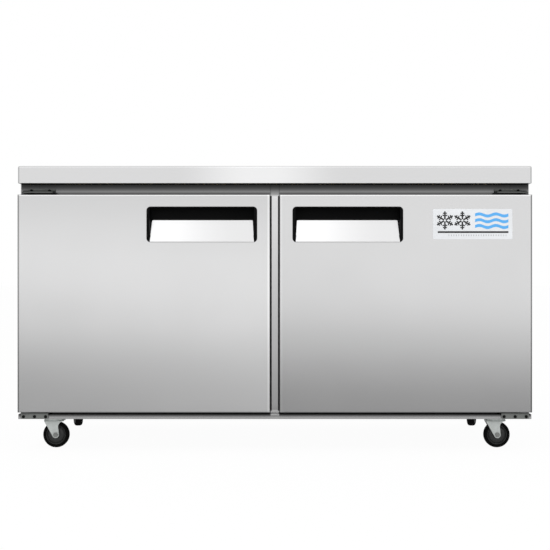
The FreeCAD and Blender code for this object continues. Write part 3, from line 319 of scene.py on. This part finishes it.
def door_painted_light(levels, inner):
    """Painted reflections that change slowly from the bottom to the top of a door, with painted shade on its
    rounded outer edge and top brink and a painted highlight on its top crest.

    inner is the factor of the painted highlight along the edge by the middle. Faces that look
    sideways or upwards keep their level.
    """
    def painted_light(s):
        across, _, height = s.axes(s.place)
        side = s.math("ABSOLUTE", across)
        slow = s.curve(height, DOOR_LOW, DOOR_HIGH, levels)
        outer = s.span(side, OUTER_X - 6 * MM, OUTER_X - 2 * MM, 1.0, PAINTED_EDGE_SHADE)
        edge = s.span(side, INNER_X + 5 * MM, INNER_X + 9 * MM, inner, 1.0)
        crest = s.span(height, DOOR_HIGH - 5 * MM, DOOR_HIGH - 3 * MM, 1.0, CREST_PAINTED_HIGHLIGHT)
        brink = s.span(height, DOOR_HIGH - 1.8 * MM, DOOR_HIGH - 0.8 * MM, 1.0, PAINTED_EDGE_SHADE)
        crest = s.math("MULTIPLY", crest, brink)
        rim = s.math("MULTIPLY", crest, s.math("MULTIPLY", outer, edge))
        _, forward, _ = s.axes(s.true_normal())
        rim = s.math("MAXIMUM", rim, s.span(forward, -0.35, -0.1, 0.0, 1.0))
        return s.math("MULTIPLY", slow, rim)
    return painted_light


def plate_painted_highlight(s):
    """Painted highlight: each pull's plate is brighter along its left third."""
    across, _, _ = s.axes(s.place)
    halves = s.math("PINGPONG", across, high("handle_plate_right").x)
    first = low("handle_plate_right").x
    last = high("handle_plate_right").x
    to_right = s.span(halves, first, last, 0.0, 1.0)
    side = s.span(across, -1 * MM, 1 * MM, 1.0, 0.0)
    flipped = s.math("ABSOLUTE", s.math("SUBTRACT", side, to_right))
    return s.curve(flipped, 0.0, 1.0, PLATE)


def bracket_painted_shade(s):
    """Painted shade: the hinge brackets are half in shadow, the legs of the top ones most of all."""
    _, _, height = s.axes(s.place)
    leg = s.span(height, BRACKET_TOP - 9 * MM, BRACKET_TOP - 2 * MM, 0.09, 0.32)
    on_leg = s.span(height, BRACKET_TOP - 9.8 * MM, BRACKET_TOP - 8.8 * MM, 0.0, 1.0)
    rim = s.math("MULTIPLY", s.math("SUBTRACT", 1.0, on_leg), BRACKET_RIM)
    upper = s.math("ADD", rim, s.math("MULTIPLY", leg, on_leg))
    lower = s.span(height, DOOR_LOW, DOOR_LOW + 10 * MM, BRACKET_LOW, 0.0)
    return s.math("MAXIMUM", upper, lower)


def recess_painted_light(s):
    """The frame has painted shade under the worktop's lip and along the edges of the doors.

    It has painted light in the gap between the doors, most of all at its foot.
    """
    _, _, height = s.axes(s.place)
    behind = behind_doors(s)
    deep = s.curve(height, DOOR_HIGH - 4 * MM, low("worktop").z, RECESS)
    # A painted shadow line along the door seal, just above the door tops.
    seal = s.math("ABSOLUTE", s.math("SUBTRACT", height, DOOR_HIGH + SEAL_RISE))
    seal = s.math("MULTIPLY", behind, s.span(seal, 1.8 * MM, 3.8 * MM, SEAL_PAINTED_SHADOW, 0.0))
    # Painted shade under the door bottoms.
    under = s.span(height, DOOR_LOW, DOOR_LOW + 10 * MM, UNDER_PAINTED_SHADE, 0.0)
    under = s.math("MULTIPLY", behind, under)
    kept = s.math("SUBTRACT", 1.0, s.math("MAXIMUM", seal, under))
    # Painted light in the gap between the doors.
    bright = s.span(height, DOOR_LOW + 50 * MM, DOOR_HIGH - 50 * MM, 1.03, GAP_BRIGHT)
    head = s.span(height, DOOR_HIGH - 3 * MM, DOOR_HIGH + 3 * MM, GAP_BRIGHT, 0.95)
    foot = s.span(height, DOOR_LOW, DOOR_LOW + 12 * MM, GAP_FOOT, 0.0)
    bright = s.math("MAXIMUM", s.math("MINIMUM", bright, head), foot)
    gap = s.math("MAXIMUM", behind, s.math("MULTIPLY", bright, s.math("SUBTRACT", 1.0, behind)))
    return s.math("MULTIPLY", deep, s.math("MULTIPLY", kept, gap))


def mullion_painted_reflection(s):
    """Painted reflection: the strip seen between the doors is brightest at the top."""
    _, _, height = s.axes(s.place)
    return s.curve(height, DOOR_LOW, DOOR_HIGH, MULLION)


def sill_painted_shadow(s):
    """The sill has the doors' painted shadow along its upper edge, but not below the gap."""
    _, _, height = s.axes(s.place)
    deep = s.curve(height, low("bottom_panel").z, high("bottom_panel").z, SILL)
    gap = s.math("SUBTRACT", 1.0, behind_doors(s))
    return s.math("MAXIMUM", deep, s.math("MULTIPLY", gap, SILL_GAP))


def zinc(name, color, rough=0.36, depth=0.02, fold_light=0.0, metallic=0.85, painted_light=None):
    """Zinc plate: slightly cool and clouded, with worn edges and painted shade in corners."""
    s = Shader(name, color, rough, metallic)
    cloud = s.noise(60.0, 4.0, 0.6)
    fine = s.noise(900.0, 3.0, 0.6)
    tone = s.math("ADD", cloud, s.edge_wear(0.0008, 0.6))
    base = s.shade(s.tint(0.12, tone), depth, fold_light)
    # painted_light multiplies painted shade into the colour and the specular tint.
    if painted_light:
        level = painted_light(s)
        base = s.mix(1.0, base, level, "MULTIPLY")
        s.use("Specular Tint", level)
    s.use("Base Color", base)
    s.use("Roughness", s.span(cloud, 0.3, 0.7, rough - 0.08, rough + 0.1))
    s.use("Normal", s.bump(fine, 0.00004, 0.6))
    return s.mat


def galvanised(name):
    """Hot-dip sheet with spangle, and painted shade in folds."""
    s = Shader(name, (0.52, 0.54, 0.55), 0.42, 1.0)
    spangle = s.add("ShaderNodeRGBToBW")
    s.join(s.cells(85.0), spangle.inputs[0])
    grain = spangle.outputs[0]
    cloud = s.noise(7.0, 3.0, 0.6)
    tone = s.math("ADD", s.math("MULTIPLY", grain, 0.7), s.math("MULTIPLY", cloud, 0.3))
    s.use("Base Color", s.shade(s.tint(0.14, tone), 0.03, 0.1))
    s.use("Roughness", s.span(grain, 0.0, 1.0, 0.34, 0.52))
    s.use("Normal", s.bump(grain, 0.00003, 0.4))
    return s.mat


def plastic(name, color, roughness, grain=1500.0, depth=0.00005, wear=0.5, shine=0.5):
    """Moulded plastic with a fine tooling texture and slightly polished edges."""
    s = Shader(name, color, roughness)
    s.set("Specular IOR Level", shine)
    texture = s.noise(grain, 3.0, 0.6)
    cloud = s.noise(9.0, 3.0, 0.5)
    worn = s.edge_wear(0.0009, wear)
    s.use("Base Color", s.tint(0.12, s.math("ADD", cloud, worn)))
    rough = s.math("SUBTRACT", s.span(cloud, 0.3, 0.7, roughness - 0.05, roughness + 0.06), worn)
    s.use("Roughness", s.math("MAXIMUM", rough, 0.2))
    s.use("Normal", s.bump(texture, depth, 0.6))
    return s.mat


def rubber(name, color, dust_level, shine=0.3):
    """Dull rubber with a dusty bloom."""
    s = Shader(name, color, 0.72)
    s.set("Specular IOR Level", shine)
    dust = s.noise(38.0, 4.0, 0.65)
    fine = s.noise(1300.0, 2.0, 0.6)
    bloom = s.span(dust, 0.45, 0.8, 0.0, dust_level)
    s.use("Base Color", s.mix(bloom, (*color, 1), (0.07, 0.068, 0.065, 1)))
    s.use("Roughness", s.span(dust, 0.3, 0.7, 0.62, 0.82))
    s.use("Normal", s.bump(fine, 0.00006, 0.7))
    return s.mat


def painted(name, color, roughness):
    """Sprayed paint with a light orange-peel surface."""
    s = Shader(name, color, roughness)
    peel = s.noise(420.0, 2.0, 0.5)
    cloud = s.noise(11.0, 3.0, 0.6)
    s.use("Base Color", s.tint(0.15, s.math("ADD", cloud, s.edge_wear(0.001, 0.6))))
    s.use("Roughness", s.span(cloud, 0.3, 0.7, roughness - 0.05, roughness + 0.08))
    s.use("Normal", s.bump(peel, 0.00008, 0.5))
    return s.mat


def bare_metal(name, color, roughness):
    """Drawn metal with faint stains, and painted shade in folds."""
    s = Shader(name, color, roughness, 1.0)
    stain = s.noise(24.0, 4.0, 0.6)
    fine = s.noise(1100.0, 2.0, 0.5)
    s.use("Base Color", s.shade(s.tint(0.16, stain), 0.02, 0.15))
    s.use("Roughness", s.span(stain, 0.3, 0.7, roughness - 0.06, roughness + 0.12))
    s.use("Normal", s.bump(fine, 0.00003, 0.5))
    return s.mat


def foam(name):
    """Cut rigid foam with open pores."""
    s = Shader(name, (0.80, 0.70, 0.46), 0.9)
    pores = s.cells(700.0, "Distance")
    cloud = s.noise(16.0, 3.0, 0.6)
    s.use("Base Color", s.tint(0.12, cloud))
    s.use("Normal", s.bump(pores, 0.0004, 0.6))
    return s.mat


def ink(name, color):
    """Screen-printed ink with a faint mottle."""
    s = Shader(name, color, 0.4)
    mottle = s.noise(900.0, 3.0, 0.6)
    s.use("Base Color", s.tint(0.15, mottle))
    s.use("Roughness", s.span(mottle, 0.3, 0.7, 0.34, 0.5))
    s.use("Normal", s.bump(mottle, 0.00001, 0.4))
    return s.mat


GRAIN_X = 0
GRAIN_Y = 1
MATERIALS = {
    # Copies of one stainless steel, each with its own painted light and shade.
    "steel_front": satin_steel("steel_front", GRAIN_X),
    "steel_side": satin_steel("steel_side", GRAIN_Y),
    "steel_worktop": satin_steel("steel_worktop", GRAIN_X, painted_light=lip_painted_highlight),
    "steel_frame": satin_steel("steel_frame", GRAIN_X, painted_light=recess_painted_light, fold_light=0.55),
    "steel_sill": satin_steel("steel_sill", GRAIN_X, painted_light=sill_painted_shadow),
    "steel_mullion": satin_steel("steel_mullion", GRAIN_X, painted_light=mullion_painted_reflection, fold_light=1.0),
    "steel_door_left": satin_steel(
        "steel_door_left", GRAIN_X, painted_light=door_painted_light(LEFT_DOOR, 1.26),
        bow=(0.016, 0.02), fold_light=0.6),
    "steel_door_right": satin_steel(
        "steel_door_right", GRAIN_X, painted_light=door_painted_light(RIGHT_DOOR, 1.1),
        bow=(-0.009, 0.008), fold_light=0.6),
    # A brighter copy of the steel: its colour and factors are a painted highlight.
    "steel_plate": satin_steel(
        "steel_plate", GRAIN_X, (0.9, 0.9, 0.905), 0.22, plate_painted_highlight, (-0.17, 0.0), 1.0),
    "zinc": zinc("zinc_plate", (0.80, 0.84, 0.82), fold_light=0.5, metallic=0.6),
    "bracket_zinc": zinc(
        "bracket_zinc", (0.52, 0.54, 0.52), 0.4, 0.012, 0.1, painted_light=bracket_painted_shade),
    "axle_zinc": zinc("axle_zinc", (0.34, 0.35, 0.34), 0.4, 0.006),
    "dark_zinc": zinc("dark_zinc", (0.012, 0.0122, 0.012), 0.5, 0.02),
    "galvanised": galvanised("galvanised_sheet"),
    "black_plastic": plastic("black_plastic", (0.0022, 0.0023, 0.0024), 0.5, shine=0.07),
    "grey_plastic": plastic("grey_plastic", (0.06, 0.06, 0.064), 0.5),
    "hub_plastic": plastic("hub_plastic", (0.026, 0.027, 0.027), 0.34, 700.0, 0.0001, 0.3),
    "white_plastic": plastic("white_plastic", (0.78, 0.79, 0.79), 0.38, 700.0, 0.00012, 0.2),
    "seal_rubber": rubber("seal_rubber", (0.012, 0.012, 0.013), 0.2),
    "tread_rubber": rubber("tread_rubber", (0.002, 0.002, 0.002), 0.03, 0.12),
    "black_paint": painted("black_paint", (0.02, 0.02, 0.021), 0.38),
    "wire_coat": painted("wire_coat", (0.74, 0.75, 0.76), 0.34),
    "copper": bare_metal("copper", (0.72, 0.36, 0.22), 0.3),
    "aluminium": bare_metal("aluminium", (0.76, 0.77, 0.78), 0.34),
    "foam": foam("rigid_foam"),
    "label": plastic("label_film", (0.70, 0.715, 0.735), 0.3, 300.0, 0.00002, 0.1),
    "ink_black": ink("ink_black", (0.012, 0.012, 0.013)),
    "ink_blue": ink("ink_blue", (0.09, 0.38, 0.78)),
    "ink_grey": ink("ink_grey", (0.36, 0.37, 0.38)),
}
SLOT_MATERIAL = {
    "satin_steel": "steel_front",
    "zinc_steel": "zinc",
    "galvanised": "galvanised",
    "black_plastic": "black_plastic",
    "grey_plastic": "grey_plastic",
    "white_plastic": "white_plastic",
    "foam": "foam",
    "seal_rubber": "seal_rubber",
    "tread_rubber": "tread_rubber",
    "black_paint": "black_paint",
    "copper": "copper",
    "aluminium_fin": "aluminium",
    "coated_wire": "wire_coat",
    "label_film": "label",
}
NODE_MATERIAL = {
    "left_side_panel": "steel_side",
    "right_side_panel": "steel_side",
    "worktop": "steel_worktop",
    "face_frame": "steel_frame",
    "bottom_panel": "steel_sill",
    "door_skin_left": "steel_door_left",
    "door_skin_right": "steel_door_right",
    "centre_mullion": "steel_mullion",
    "hinge_brackets": "bracket_zinc",
    "hinge_pins": "dark_zinc",
    "cabinet_screws": "dark_zinc",
}
for corner in CORNERS:
    NODE_MATERIAL["caster_axle_" + corner] = "axle_zinc"


def dress_frame():
    """Every carried-over node gets the material of its slot, or its own."""
    for part in frame["record"]["subparts"]:
        mesh = NODES[part["node"]].data
        key = NODE_MATERIAL.get(part["node"], SLOT_MATERIAL[part["material_slot"]])
        mesh.materials.clear()
        mesh.materials.append(MATERIALS[key])


dress_frame()


# ---------------------------------------------------------------- mesh pieces

BODIES = frame["record"]["behaviour"]["bodies"]
BODY_OF = {node: body for body, nodes in BODIES.items() for node in nodes}
JOINT_OF = {joint["child"]: joint for joint in frame["joints"]}
AXIS_OF = {body: Vector(joint["axis"]) for body, joint in JOINT_OF.items()}


def centre_of(node):
    return (low(node) + high(node)) / 2


def piece(name, bm, material, stands_for, hide=True):
    """Finishes a mesh, rides it on the body of the CAD node it stands for, and shows it instead."""
    bmesh.ops.recalc_face_normals(bm, faces=bm.faces)
    mesh = bpy.data.meshes.new(name)
    bm.to_mesh(mesh)
    bm.free()
    mesh.shade_smooth()
    mesh.set_sharp_from_angle(angle=math.radians(34))
    mesh.materials.append(MATERIALS[material])
    obj = bpy.data.objects.new(name, mesh)
    bpy.context.collection.objects.link(obj)
    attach(obj, BODY_OF[stands_for])
    if hide:
        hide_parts(stands_for)
    return obj


def turned(bm, outline, centre, axis, segments=96):
    """Turns a closed outline of (radius, height) points about an axis through centre."""
    along = axis.normalized()
    side = along.orthogonal().normalized()
    other = along.cross(side)
    rings = []
    for step in range(segments):
        angle = math.tau * step / segments
        out = side * math.cos(angle) + other * math.sin(angle)
        rings.append([bm.verts.new(centre + out * r + along * h) for r, h in outline])
    for ring, following in zip(rings, rings[1:] + rings[:1]):
        for index in range(len(outline)):
            after = (index + 1) % len(outline)
            bm.faces.new((ring[index], ring[after], following[after], following[index]))


def both_sides(outline):
    """Mirrors (radius, height) points to the far side, closing the outline."""
    return outline + [(r, -h) for r, h in reversed(outline)]


# Casters

WHEEL_R = 40 * MM
HUB_R = 31 * MM
SIDEWALL_R = 33.2 * MM
WHEEL_HALF_W = 13 * MM
TREAD_STEPS = 13


def wheel(corner):
    """A solid rubber tyre with a rounded tread on a dished hub with raised rings."""
    node = "caster_wheel_" + corner
    axis = AXIS_OF["wheel_" + corner]
    centre = centre_of(node)
    tyre = bmesh.new()
    half = WHEEL_HALF_W
    crown = [(HUB_R + 0.2 * MM, half - 2 * MM), (HUB_R + 0.4 * MM, half - 0.4 * MM)]
    crown += [(HUB_R + 1.2 * MM, half), (SIDEWALL_R, half)]
    for step in range(1, TREAD_STEPS):
        angle = math.radians(90 * step / TREAD_STEPS)
        out = (WHEEL_R - SIDEWALL_R) * math.sin(angle) ** 0.95
        crown.append((SIDEWALL_R + out, half * math.cos(angle) ** 0.62))
    crown.append((WHEEL_R, 0.5 * MM))
    turned(tyre, both_sides(crown), centre, axis)
    piece("tyre_" + corner, tyre, "tread_rubber", node)
    hub = bmesh.new()
    face = [
        (5.1, 14.8), (9.6, 14.8), (10.2, 14.4), (10.6, 11.2), (11.4, 10.6), (16.0, 10.9),
        (21.0, 10.5), (23.4, 9.7), (24.0, 8.4), (24.9, 8.0), (25.6, 8.5), (27.4, 10.9),
        (28.0, 11.5), (29.2, 11.6), (29.7, 11.2), (30.1, 10.4), (30.6, 10.2), (31.1, 9.6),
    ]
    turned(hub, both_sides([(r * MM, w * MM) for r, w in face]), centre, axis)
    piece("hub_" + corner, hub, "hub_plastic", node)


def arc(centre, radius, start, end, steps):
    """Points (x, z) along an arc between two angles in degrees."""
    points = []
    for step in range(steps + 1):
        angle = math.radians(start + (end - start) * step / steps)
        points.append((centre[0] + radius * math.cos(angle), centre[1] + radius * math.sin(angle)))
    return points


def tangent_angle(point, centre, radius, side):
    """Degrees, about centre, where a line from point touches the circle."""
    run = Vector(point) - Vector(centre)
    return math.degrees(math.atan2(run.y, run.x) + side * math.acos(radius / run.length))


def slab(bm, outline, thick, bevel, put, segments=3):
    """A plate with bevelled rims.

    outline is (x, z) points, w runs from -thick/2 to thick/2, and put(x, w, z) places a vertex.
    """
    near = [bm.verts.new((x, -thick / 2, z)) for x, z in outline]
    far = [bm.verts.new((x, thick / 2, z)) for x, z in outline]
    faces = [bm.faces.new(near), bm.faces.new(far)]
    rims = [edge for face in faces for edge in face.edges]
    for index in range(len(outline)):
        after = (index + 1) % len(outline)
        bm.faces.new((near[index], near[after], far[after], far[index]))
    before = set(bm.verts) - set(near) - set(far)
    bmesh.ops.bevel(bm, geom=rims, offset=bevel, segments=segments, profile=0.5, affect="EDGES")
    for vert in set(bm.verts) - before:
        vert.co = put(*vert.co)


FORK_END_R = 10 * MM
LEG_T = 3 * MM
CROWN_HALF = 30 * MM
WAIST = 12.5 * MM
BEND_R = 4.5 * MM
DISH_R = 31 * MM
FORK_HALF_W = 18 * MM
CROWN_T = 4 * MM
LEG_BEVEL = 0.7 * MM
BRIDGE_BEVEL = 0.5 * MM
KING_BORE_R = 5.2 * MM
DISH_BEND_R = 2 * MM
DISH_RIM_R = 1.2 * MM


def fork_outline(trail, top):
    """A leg seen from the side: x from the swivel axis, z from the axle."""
    axle = (trail, 0.0)
    sweep = CROWN_HALF - WAIST
    first = tangent_angle((-CROWN_HALF, top), axle, FORK_END_R, 1)
    last = tangent_angle((WAIST, top - sweep), axle, FORK_END_R, -1)
    outline = arc(axle, FORK_END_R, first, last + 360, 18)
    outline += arc((CROWN_HALF, top - sweep), sweep, 180, 90, 12)
    outline += [(CROWN_HALF, top), (-CROWN_HALF, top)]
    return outline


def fork(corner):
    """A stamped fork: two legs under a bent bridge, and the dished crown below the ball race."""
    node = "caster_fork_" + corner
    wheel_centre = centre_of("caster_wheel_" + corner)
    swivel = Vector(JOINT_OF["caster_" + corner]["pos_m"])
    across = AXIS_OF["wheel_" + corner].normalized()
    along = Vector((wheel_centre.x - swivel.x, wheel_centre.y - swivel.y, 0.0))
    trail = along.length
    along.normalize()
    base = Vector((swivel.x, swivel.y, wheel_centre.z))
    crown_top = high(node).z - base.z
    bridge_top = crown_top - CROWN_T
    leg_top = bridge_top - BEND_R

    bm = bmesh.new()
    for side in (-1, 1):
        shift = side * (FORK_HALF_W - LEG_T / 2)
        slab(bm, fork_outline(trail, leg_top), LEG_T, LEG_BEVEL,
             lambda x, w, z: base + along * x + across * (w + shift) + Z * z)
    bend = arc((FORK_HALF_W - BEND_R, leg_top), BEND_R, 0, 90, 6)
    inside = arc((FORK_HALF_W - BEND_R, leg_top), BEND_R - LEG_T, 90, 0, 6)
    over = bend + [(-x, z) for x, z in reversed(bend)]
    under = [(-x, z) for x, z in reversed(inside)] + inside
    slab(bm, over + under, 2 * CROWN_HALF, BRIDGE_BEVEL,
         lambda x, w, z: base + along * w + across * x + Z * z)
    low_z = bridge_top - 1 * MM
    dish = [(KING_BORE_R, low_z), (DISH_R - 3 * MM, low_z)]
    dish += arc((DISH_R - DISH_BEND_R, low_z + DISH_BEND_R), DISH_BEND_R, -90, 0, 5)
    dish += arc((DISH_R - DISH_RIM_R, crown_top - DISH_RIM_R), DISH_RIM_R, 0, 90, 3)
    dish += [(KING_BORE_R, crown_top)]
    turned(bm, dish, base, Z)
    piece("fork_" + corner, bm, "zinc", node)


# Pulls

PLATE_T = 1.2 * MM
PLATE_TAPER = 4.2 * MM
PLATE_CORNER = 3 * MM
PLATE_PROUD = 0.25 * MM
PLATE_BACK = 1.3 * MM
PLATE_BEVEL = 0.15 * MM
HEM_T = 0.8 * MM
HEM_RISE = 2.1 * MM
HEM_INSET = 0.3 * MM


def pull_plate(side):
    """The sloping plate of a pull, and the hem that laps the lower rim of the pocket."""
    node = "handle_plate_" + side
    pocket = low("handle_pocket_" + side)
    first = low(node)
    last = high(node)
    half = (last.x - first.x) / 2
    foot = Vector(((first.x + last.x) / 2, pocket.y - PLATE_PROUD, pocket.z + HEM_RISE))
    crest = Vector((foot.x, last.y - PLATE_BACK, last.z))
    up = (crest - foot).normalized()
    out = Vector((0.0, -up.z, up.y))
    height = (crest - foot).length
    corner_x = half - PLATE_TAPER - PLATE_CORNER
    corner_z = height - PLATE_CORNER
    outline = [(-half, 0.0), (half, 0.0)]
    outline += arc((corner_x, corner_z), PLATE_CORNER, 0, 90, 8)
    outline += arc((-corner_x, corner_z), PLATE_CORNER, 90, 180, 8)
    plate = bmesh.new()
    slab(plate, outline, PLATE_T, PLATE_BEVEL,
         lambda x, w, z: foot + X * x + up * z + out * (w - PLATE_T / 2), 1)
    piece("pull_plate_" + side, plate, "steel_plate", node)
    rim_z = HEM_INSET - HEM_RISE
    rim = [(-half, rim_z), (half, rim_z), (half, HEM_INSET), (-half, HEM_INSET)]
    hem = bmesh.new()
    slab(hem, rim, HEM_T, PLATE_BEVEL,
         lambda x, w, z: foot + X * x + Z * z + Y * (w + HEM_T / 2), 1)
    piece("pull_hem_" + side, hem, "steel_door_" + side, node)


for corner in CORNERS:
    wheel(corner)
    fork(corner)
for side in SIDES:
    pull_plate(side)


# Label graphic: snowflakes, waves and rules in thin ink on the film

INK = 0.08 * MM
WAVE_STEPS = 28
TICKS = 24


def flat_prism(bm, outline, y):
    """A thin plate from (x, z) points, standing INK forward of y."""
    back = [bm.verts.new((x, y, z)) for x, z in outline]
    front = [bm.verts.new((x, y - INK, z)) for x, z in outline]
    bm.faces.new(back)
    bm.faces.new(front)
    for index in range(len(outline)):
        after = (index + 1) % len(outline)
        bm.faces.new((back[index], back[after], front[after], front[index]))


def bar(bm, start, end, width, y):
    """A straight stroke between two (x, z) points."""
    run = Vector(end) - Vector(start)
    aside = Vector((-run.y, run.x)).normalized() * width / 2
    a, b = Vector(start), Vector(end)
    flat_prism(bm, [tuple(p) for p in (a + aside, b + aside, b - aside, a - aside)], y)


def snowflake(bm, centre, radius, y):
    """Six separate arms with two pairs of branches each."""
    for arm in range(6):
        angle = math.radians(60 * arm + 90)
        out = Vector((math.cos(angle), math.sin(angle)))
        middle = Vector(centre)
        bar(bm, middle + out * radius * 0.12, middle + out * radius, radius * 0.17, y)
        for share, length in ((0.45, 0.3), (0.7, 0.24)):
            root = middle + out * radius * share
            for turn in (-60, 60):
                aside = angle + math.radians(turn)
                way = Vector((math.cos(aside), math.sin(aside)))
                bar(bm, root + way * radius * 0.1, root + way * radius * length, radius * 0.13, y)


def wave(bm, x0, x1, z, rise, width, y):
    """A stroke that swells up and down twice."""
    upper = []
    lower = []
    for step in range(WAVE_STEPS + 1):
        share = step / WAVE_STEPS
        x = x0 + (x1 - x0) * share
        level = z + rise * math.sin(math.tau * 2 * share)
        upper.append((x, level + width / 2))
        lower.append((x, level - width / 2))
    flat_prism(bm, upper + lower[::-1], y)


def label_graphic():
    """Two snowflakes over a rule, three waves and a row of ticks, at shares of the label."""
    x0, y, z0 = low("door_label")
    x1, _, z1 = high("door_label")
    wide = x1 - x0
    tall = z1 - z0
    black = bmesh.new()
    radius = tall * 0.3
    for share in (0.15, 0.37):
        snowflake(black, (x0 + wide * share, z0 + tall * 0.62), radius, y)
    rule_z = z0 + tall * 0.235
    bar(black, (x0 + wide * 0.06, rule_z), (x0 + wide * 0.95, rule_z), tall * 0.06, y)
    piece("label_marks_black", black, "ink_black", "door_label", False)
    blue = bmesh.new()
    for step in range(3):
        level = z0 + tall * (0.42 + 0.19 * step)
        wave(blue, x0 + wide * 0.53, x0 + wide * 0.95, level, tall * 0.035, tall * 0.1, y)
    piece("label_waves_blue", blue, "ink_blue", "door_label", False)
    grey = bmesh.new()
    for step in range(TICKS):
        x = x0 + wide * (0.2 + 0.72 * step / (TICKS - 1))
        bar(grey, (x, z0 + tall * 0.1), (x, z0 + tall * 0.155), tall * 0.02, y)
    piece("label_ticks_grey", grey, "ink_grey", "door_label", False)


label_graphic()


# ---------------------------------------------------------------- studio

FRONT_Y = cad_box[0][1]
EYE_HEIGHT = 0.5276
EYE_DISTANCE = 3.813
EYE_X = 0.0005
LENS_MM = 84.0
SENSOR_MM = 36.0
FLOOR_HALF = 60.0
NEAR_LEVELS = (0.36, 0.36, 0.40, 0.62, 0.97, 1.0, 1.0, 0.94, 0.92, 0.95, 0.95)


def make_camera():
    data = bpy.data.cameras.new("camera")
    data.lens = LENS_MM
    data.sensor_width = SENSOR_MM
    camera = bpy.data.objects.new("camera", data)
    camera.location = (EYE_X, FRONT_Y - EYE_DISTANCE, EYE_HEIGHT)
    camera.rotation_euler = (math.radians(90), 0, 0)
    bpy.context.collection.objects.link(camera)
    bpy.context.scene.camera = camera


def make_world():
    """White to the camera; to the metal, a bright band at eye level over a darker floor."""
    world = bpy.data.worlds.new("studio")
    world.use_nodes = True
    bpy.context.scene.world = world
    t = Tree(world.node_tree)
    t.nodes.clear()
    output = t.add("ShaderNodeOutputWorld")
    path = t.add("ShaderNodeLightPath")
    across, along, up = t.axes(t.add("ShaderNodeTexCoord").outputs["Generated"])
    near_level = t.curve(up, -0.15, 0.15, NEAR_LEVELS)
    overhead = t.span(up, 0.2, 0.75, 0.0, 0.45, True)
    sides = t.span(t.math("ABSOLUTE", across), 0.3, 0.85, 1.0, 0.72, True)
    rear = t.span(along, -0.3, 0.6, 1.0, 0.6, True)
    ahead = t.math("ADD", near_level, overhead)
    mirrored = t.math("MULTIPLY", ahead, t.math("MULTIPLY", sides, rear))
    soft = t.span(up, -1.0, 1.0, 0.55, 1.0)
    strength = t.mix(path.outputs["Is Glossy Ray"], soft, mirrored)
    strength = t.mix(path.outputs["Is Camera Ray"], strength, (1, 1, 1, 1))
    background = t.add("ShaderNodeBackground")
    t.join(strength, background.inputs["Color"])
    t.join(background.outputs[0], output.inputs["Surface"])


def floor_material():
    """Pale matt floor, nearly white to the camera."""
    s = Shader("studio_floor", (0.86, 0.86, 0.86), 0.9)
    s.use("Base Color", s.tint(0.01, s.noise(90.0, 3.0, 0.5)))
    pale = s.add("ShaderNodeEmission")
    blend = s.add("ShaderNodeMixShader")
    share = s.math("MULTIPLY", s.add("ShaderNodeLightPath").outputs["Is Camera Ray"], 0.96)
    s.join(share, blend.inputs[0])
    s.join(s.bsdf.outputs[0], blend.inputs[1])
    s.join(pale.outputs[0], blend.inputs[2])
    s.join(blend.outputs[0], s.output.inputs["Surface"])
    return s.mat


def make_floor():
    half = FLOOR_HALF
    mesh = bpy.data.meshes.new("floor")
    corners = [(-half, -half, 0), (half, -half, 0), (half, half, 0), (-half, half, 0)]
    mesh.from_pydata(corners, [], [(0, 1, 2, 3)])
    floor = bpy.data.objects.new("floor", mesh)
    floor.visible_glossy = False
    mesh.materials.append(floor_material())
    bpy.context.collection.objects.link(floor)


def area_light(name, place, target, size, power):
    """A soft light that only plastics, rubber and the floor answer to."""
    data = bpy.data.lights.new(name, "AREA")
    data.shape = "RECTANGLE"
    data.size, data.size_y = size
    data.energy = power
    light = bpy.data.objects.new(name, data)
    light.visible_glossy = False
    light.location = place
    aim = Vector(target) - Vector(place)
    light.rotation_euler = aim.to_track_quat("-Z", "Y").to_euler()
    bpy.context.collection.objects.link(light)


make_camera()
make_world()
make_floor()
area_light("key", (-1.4, -3.4, 3.6), (0, 0, 0.5), (2.6, 1.6), 60)
area_light("fill", (2.2, -3.0, 2.2), (0, 0, 0.4), (1.6, 1.6), 15)
bpy.context.scene.view_settings.view_transform = "Standard"
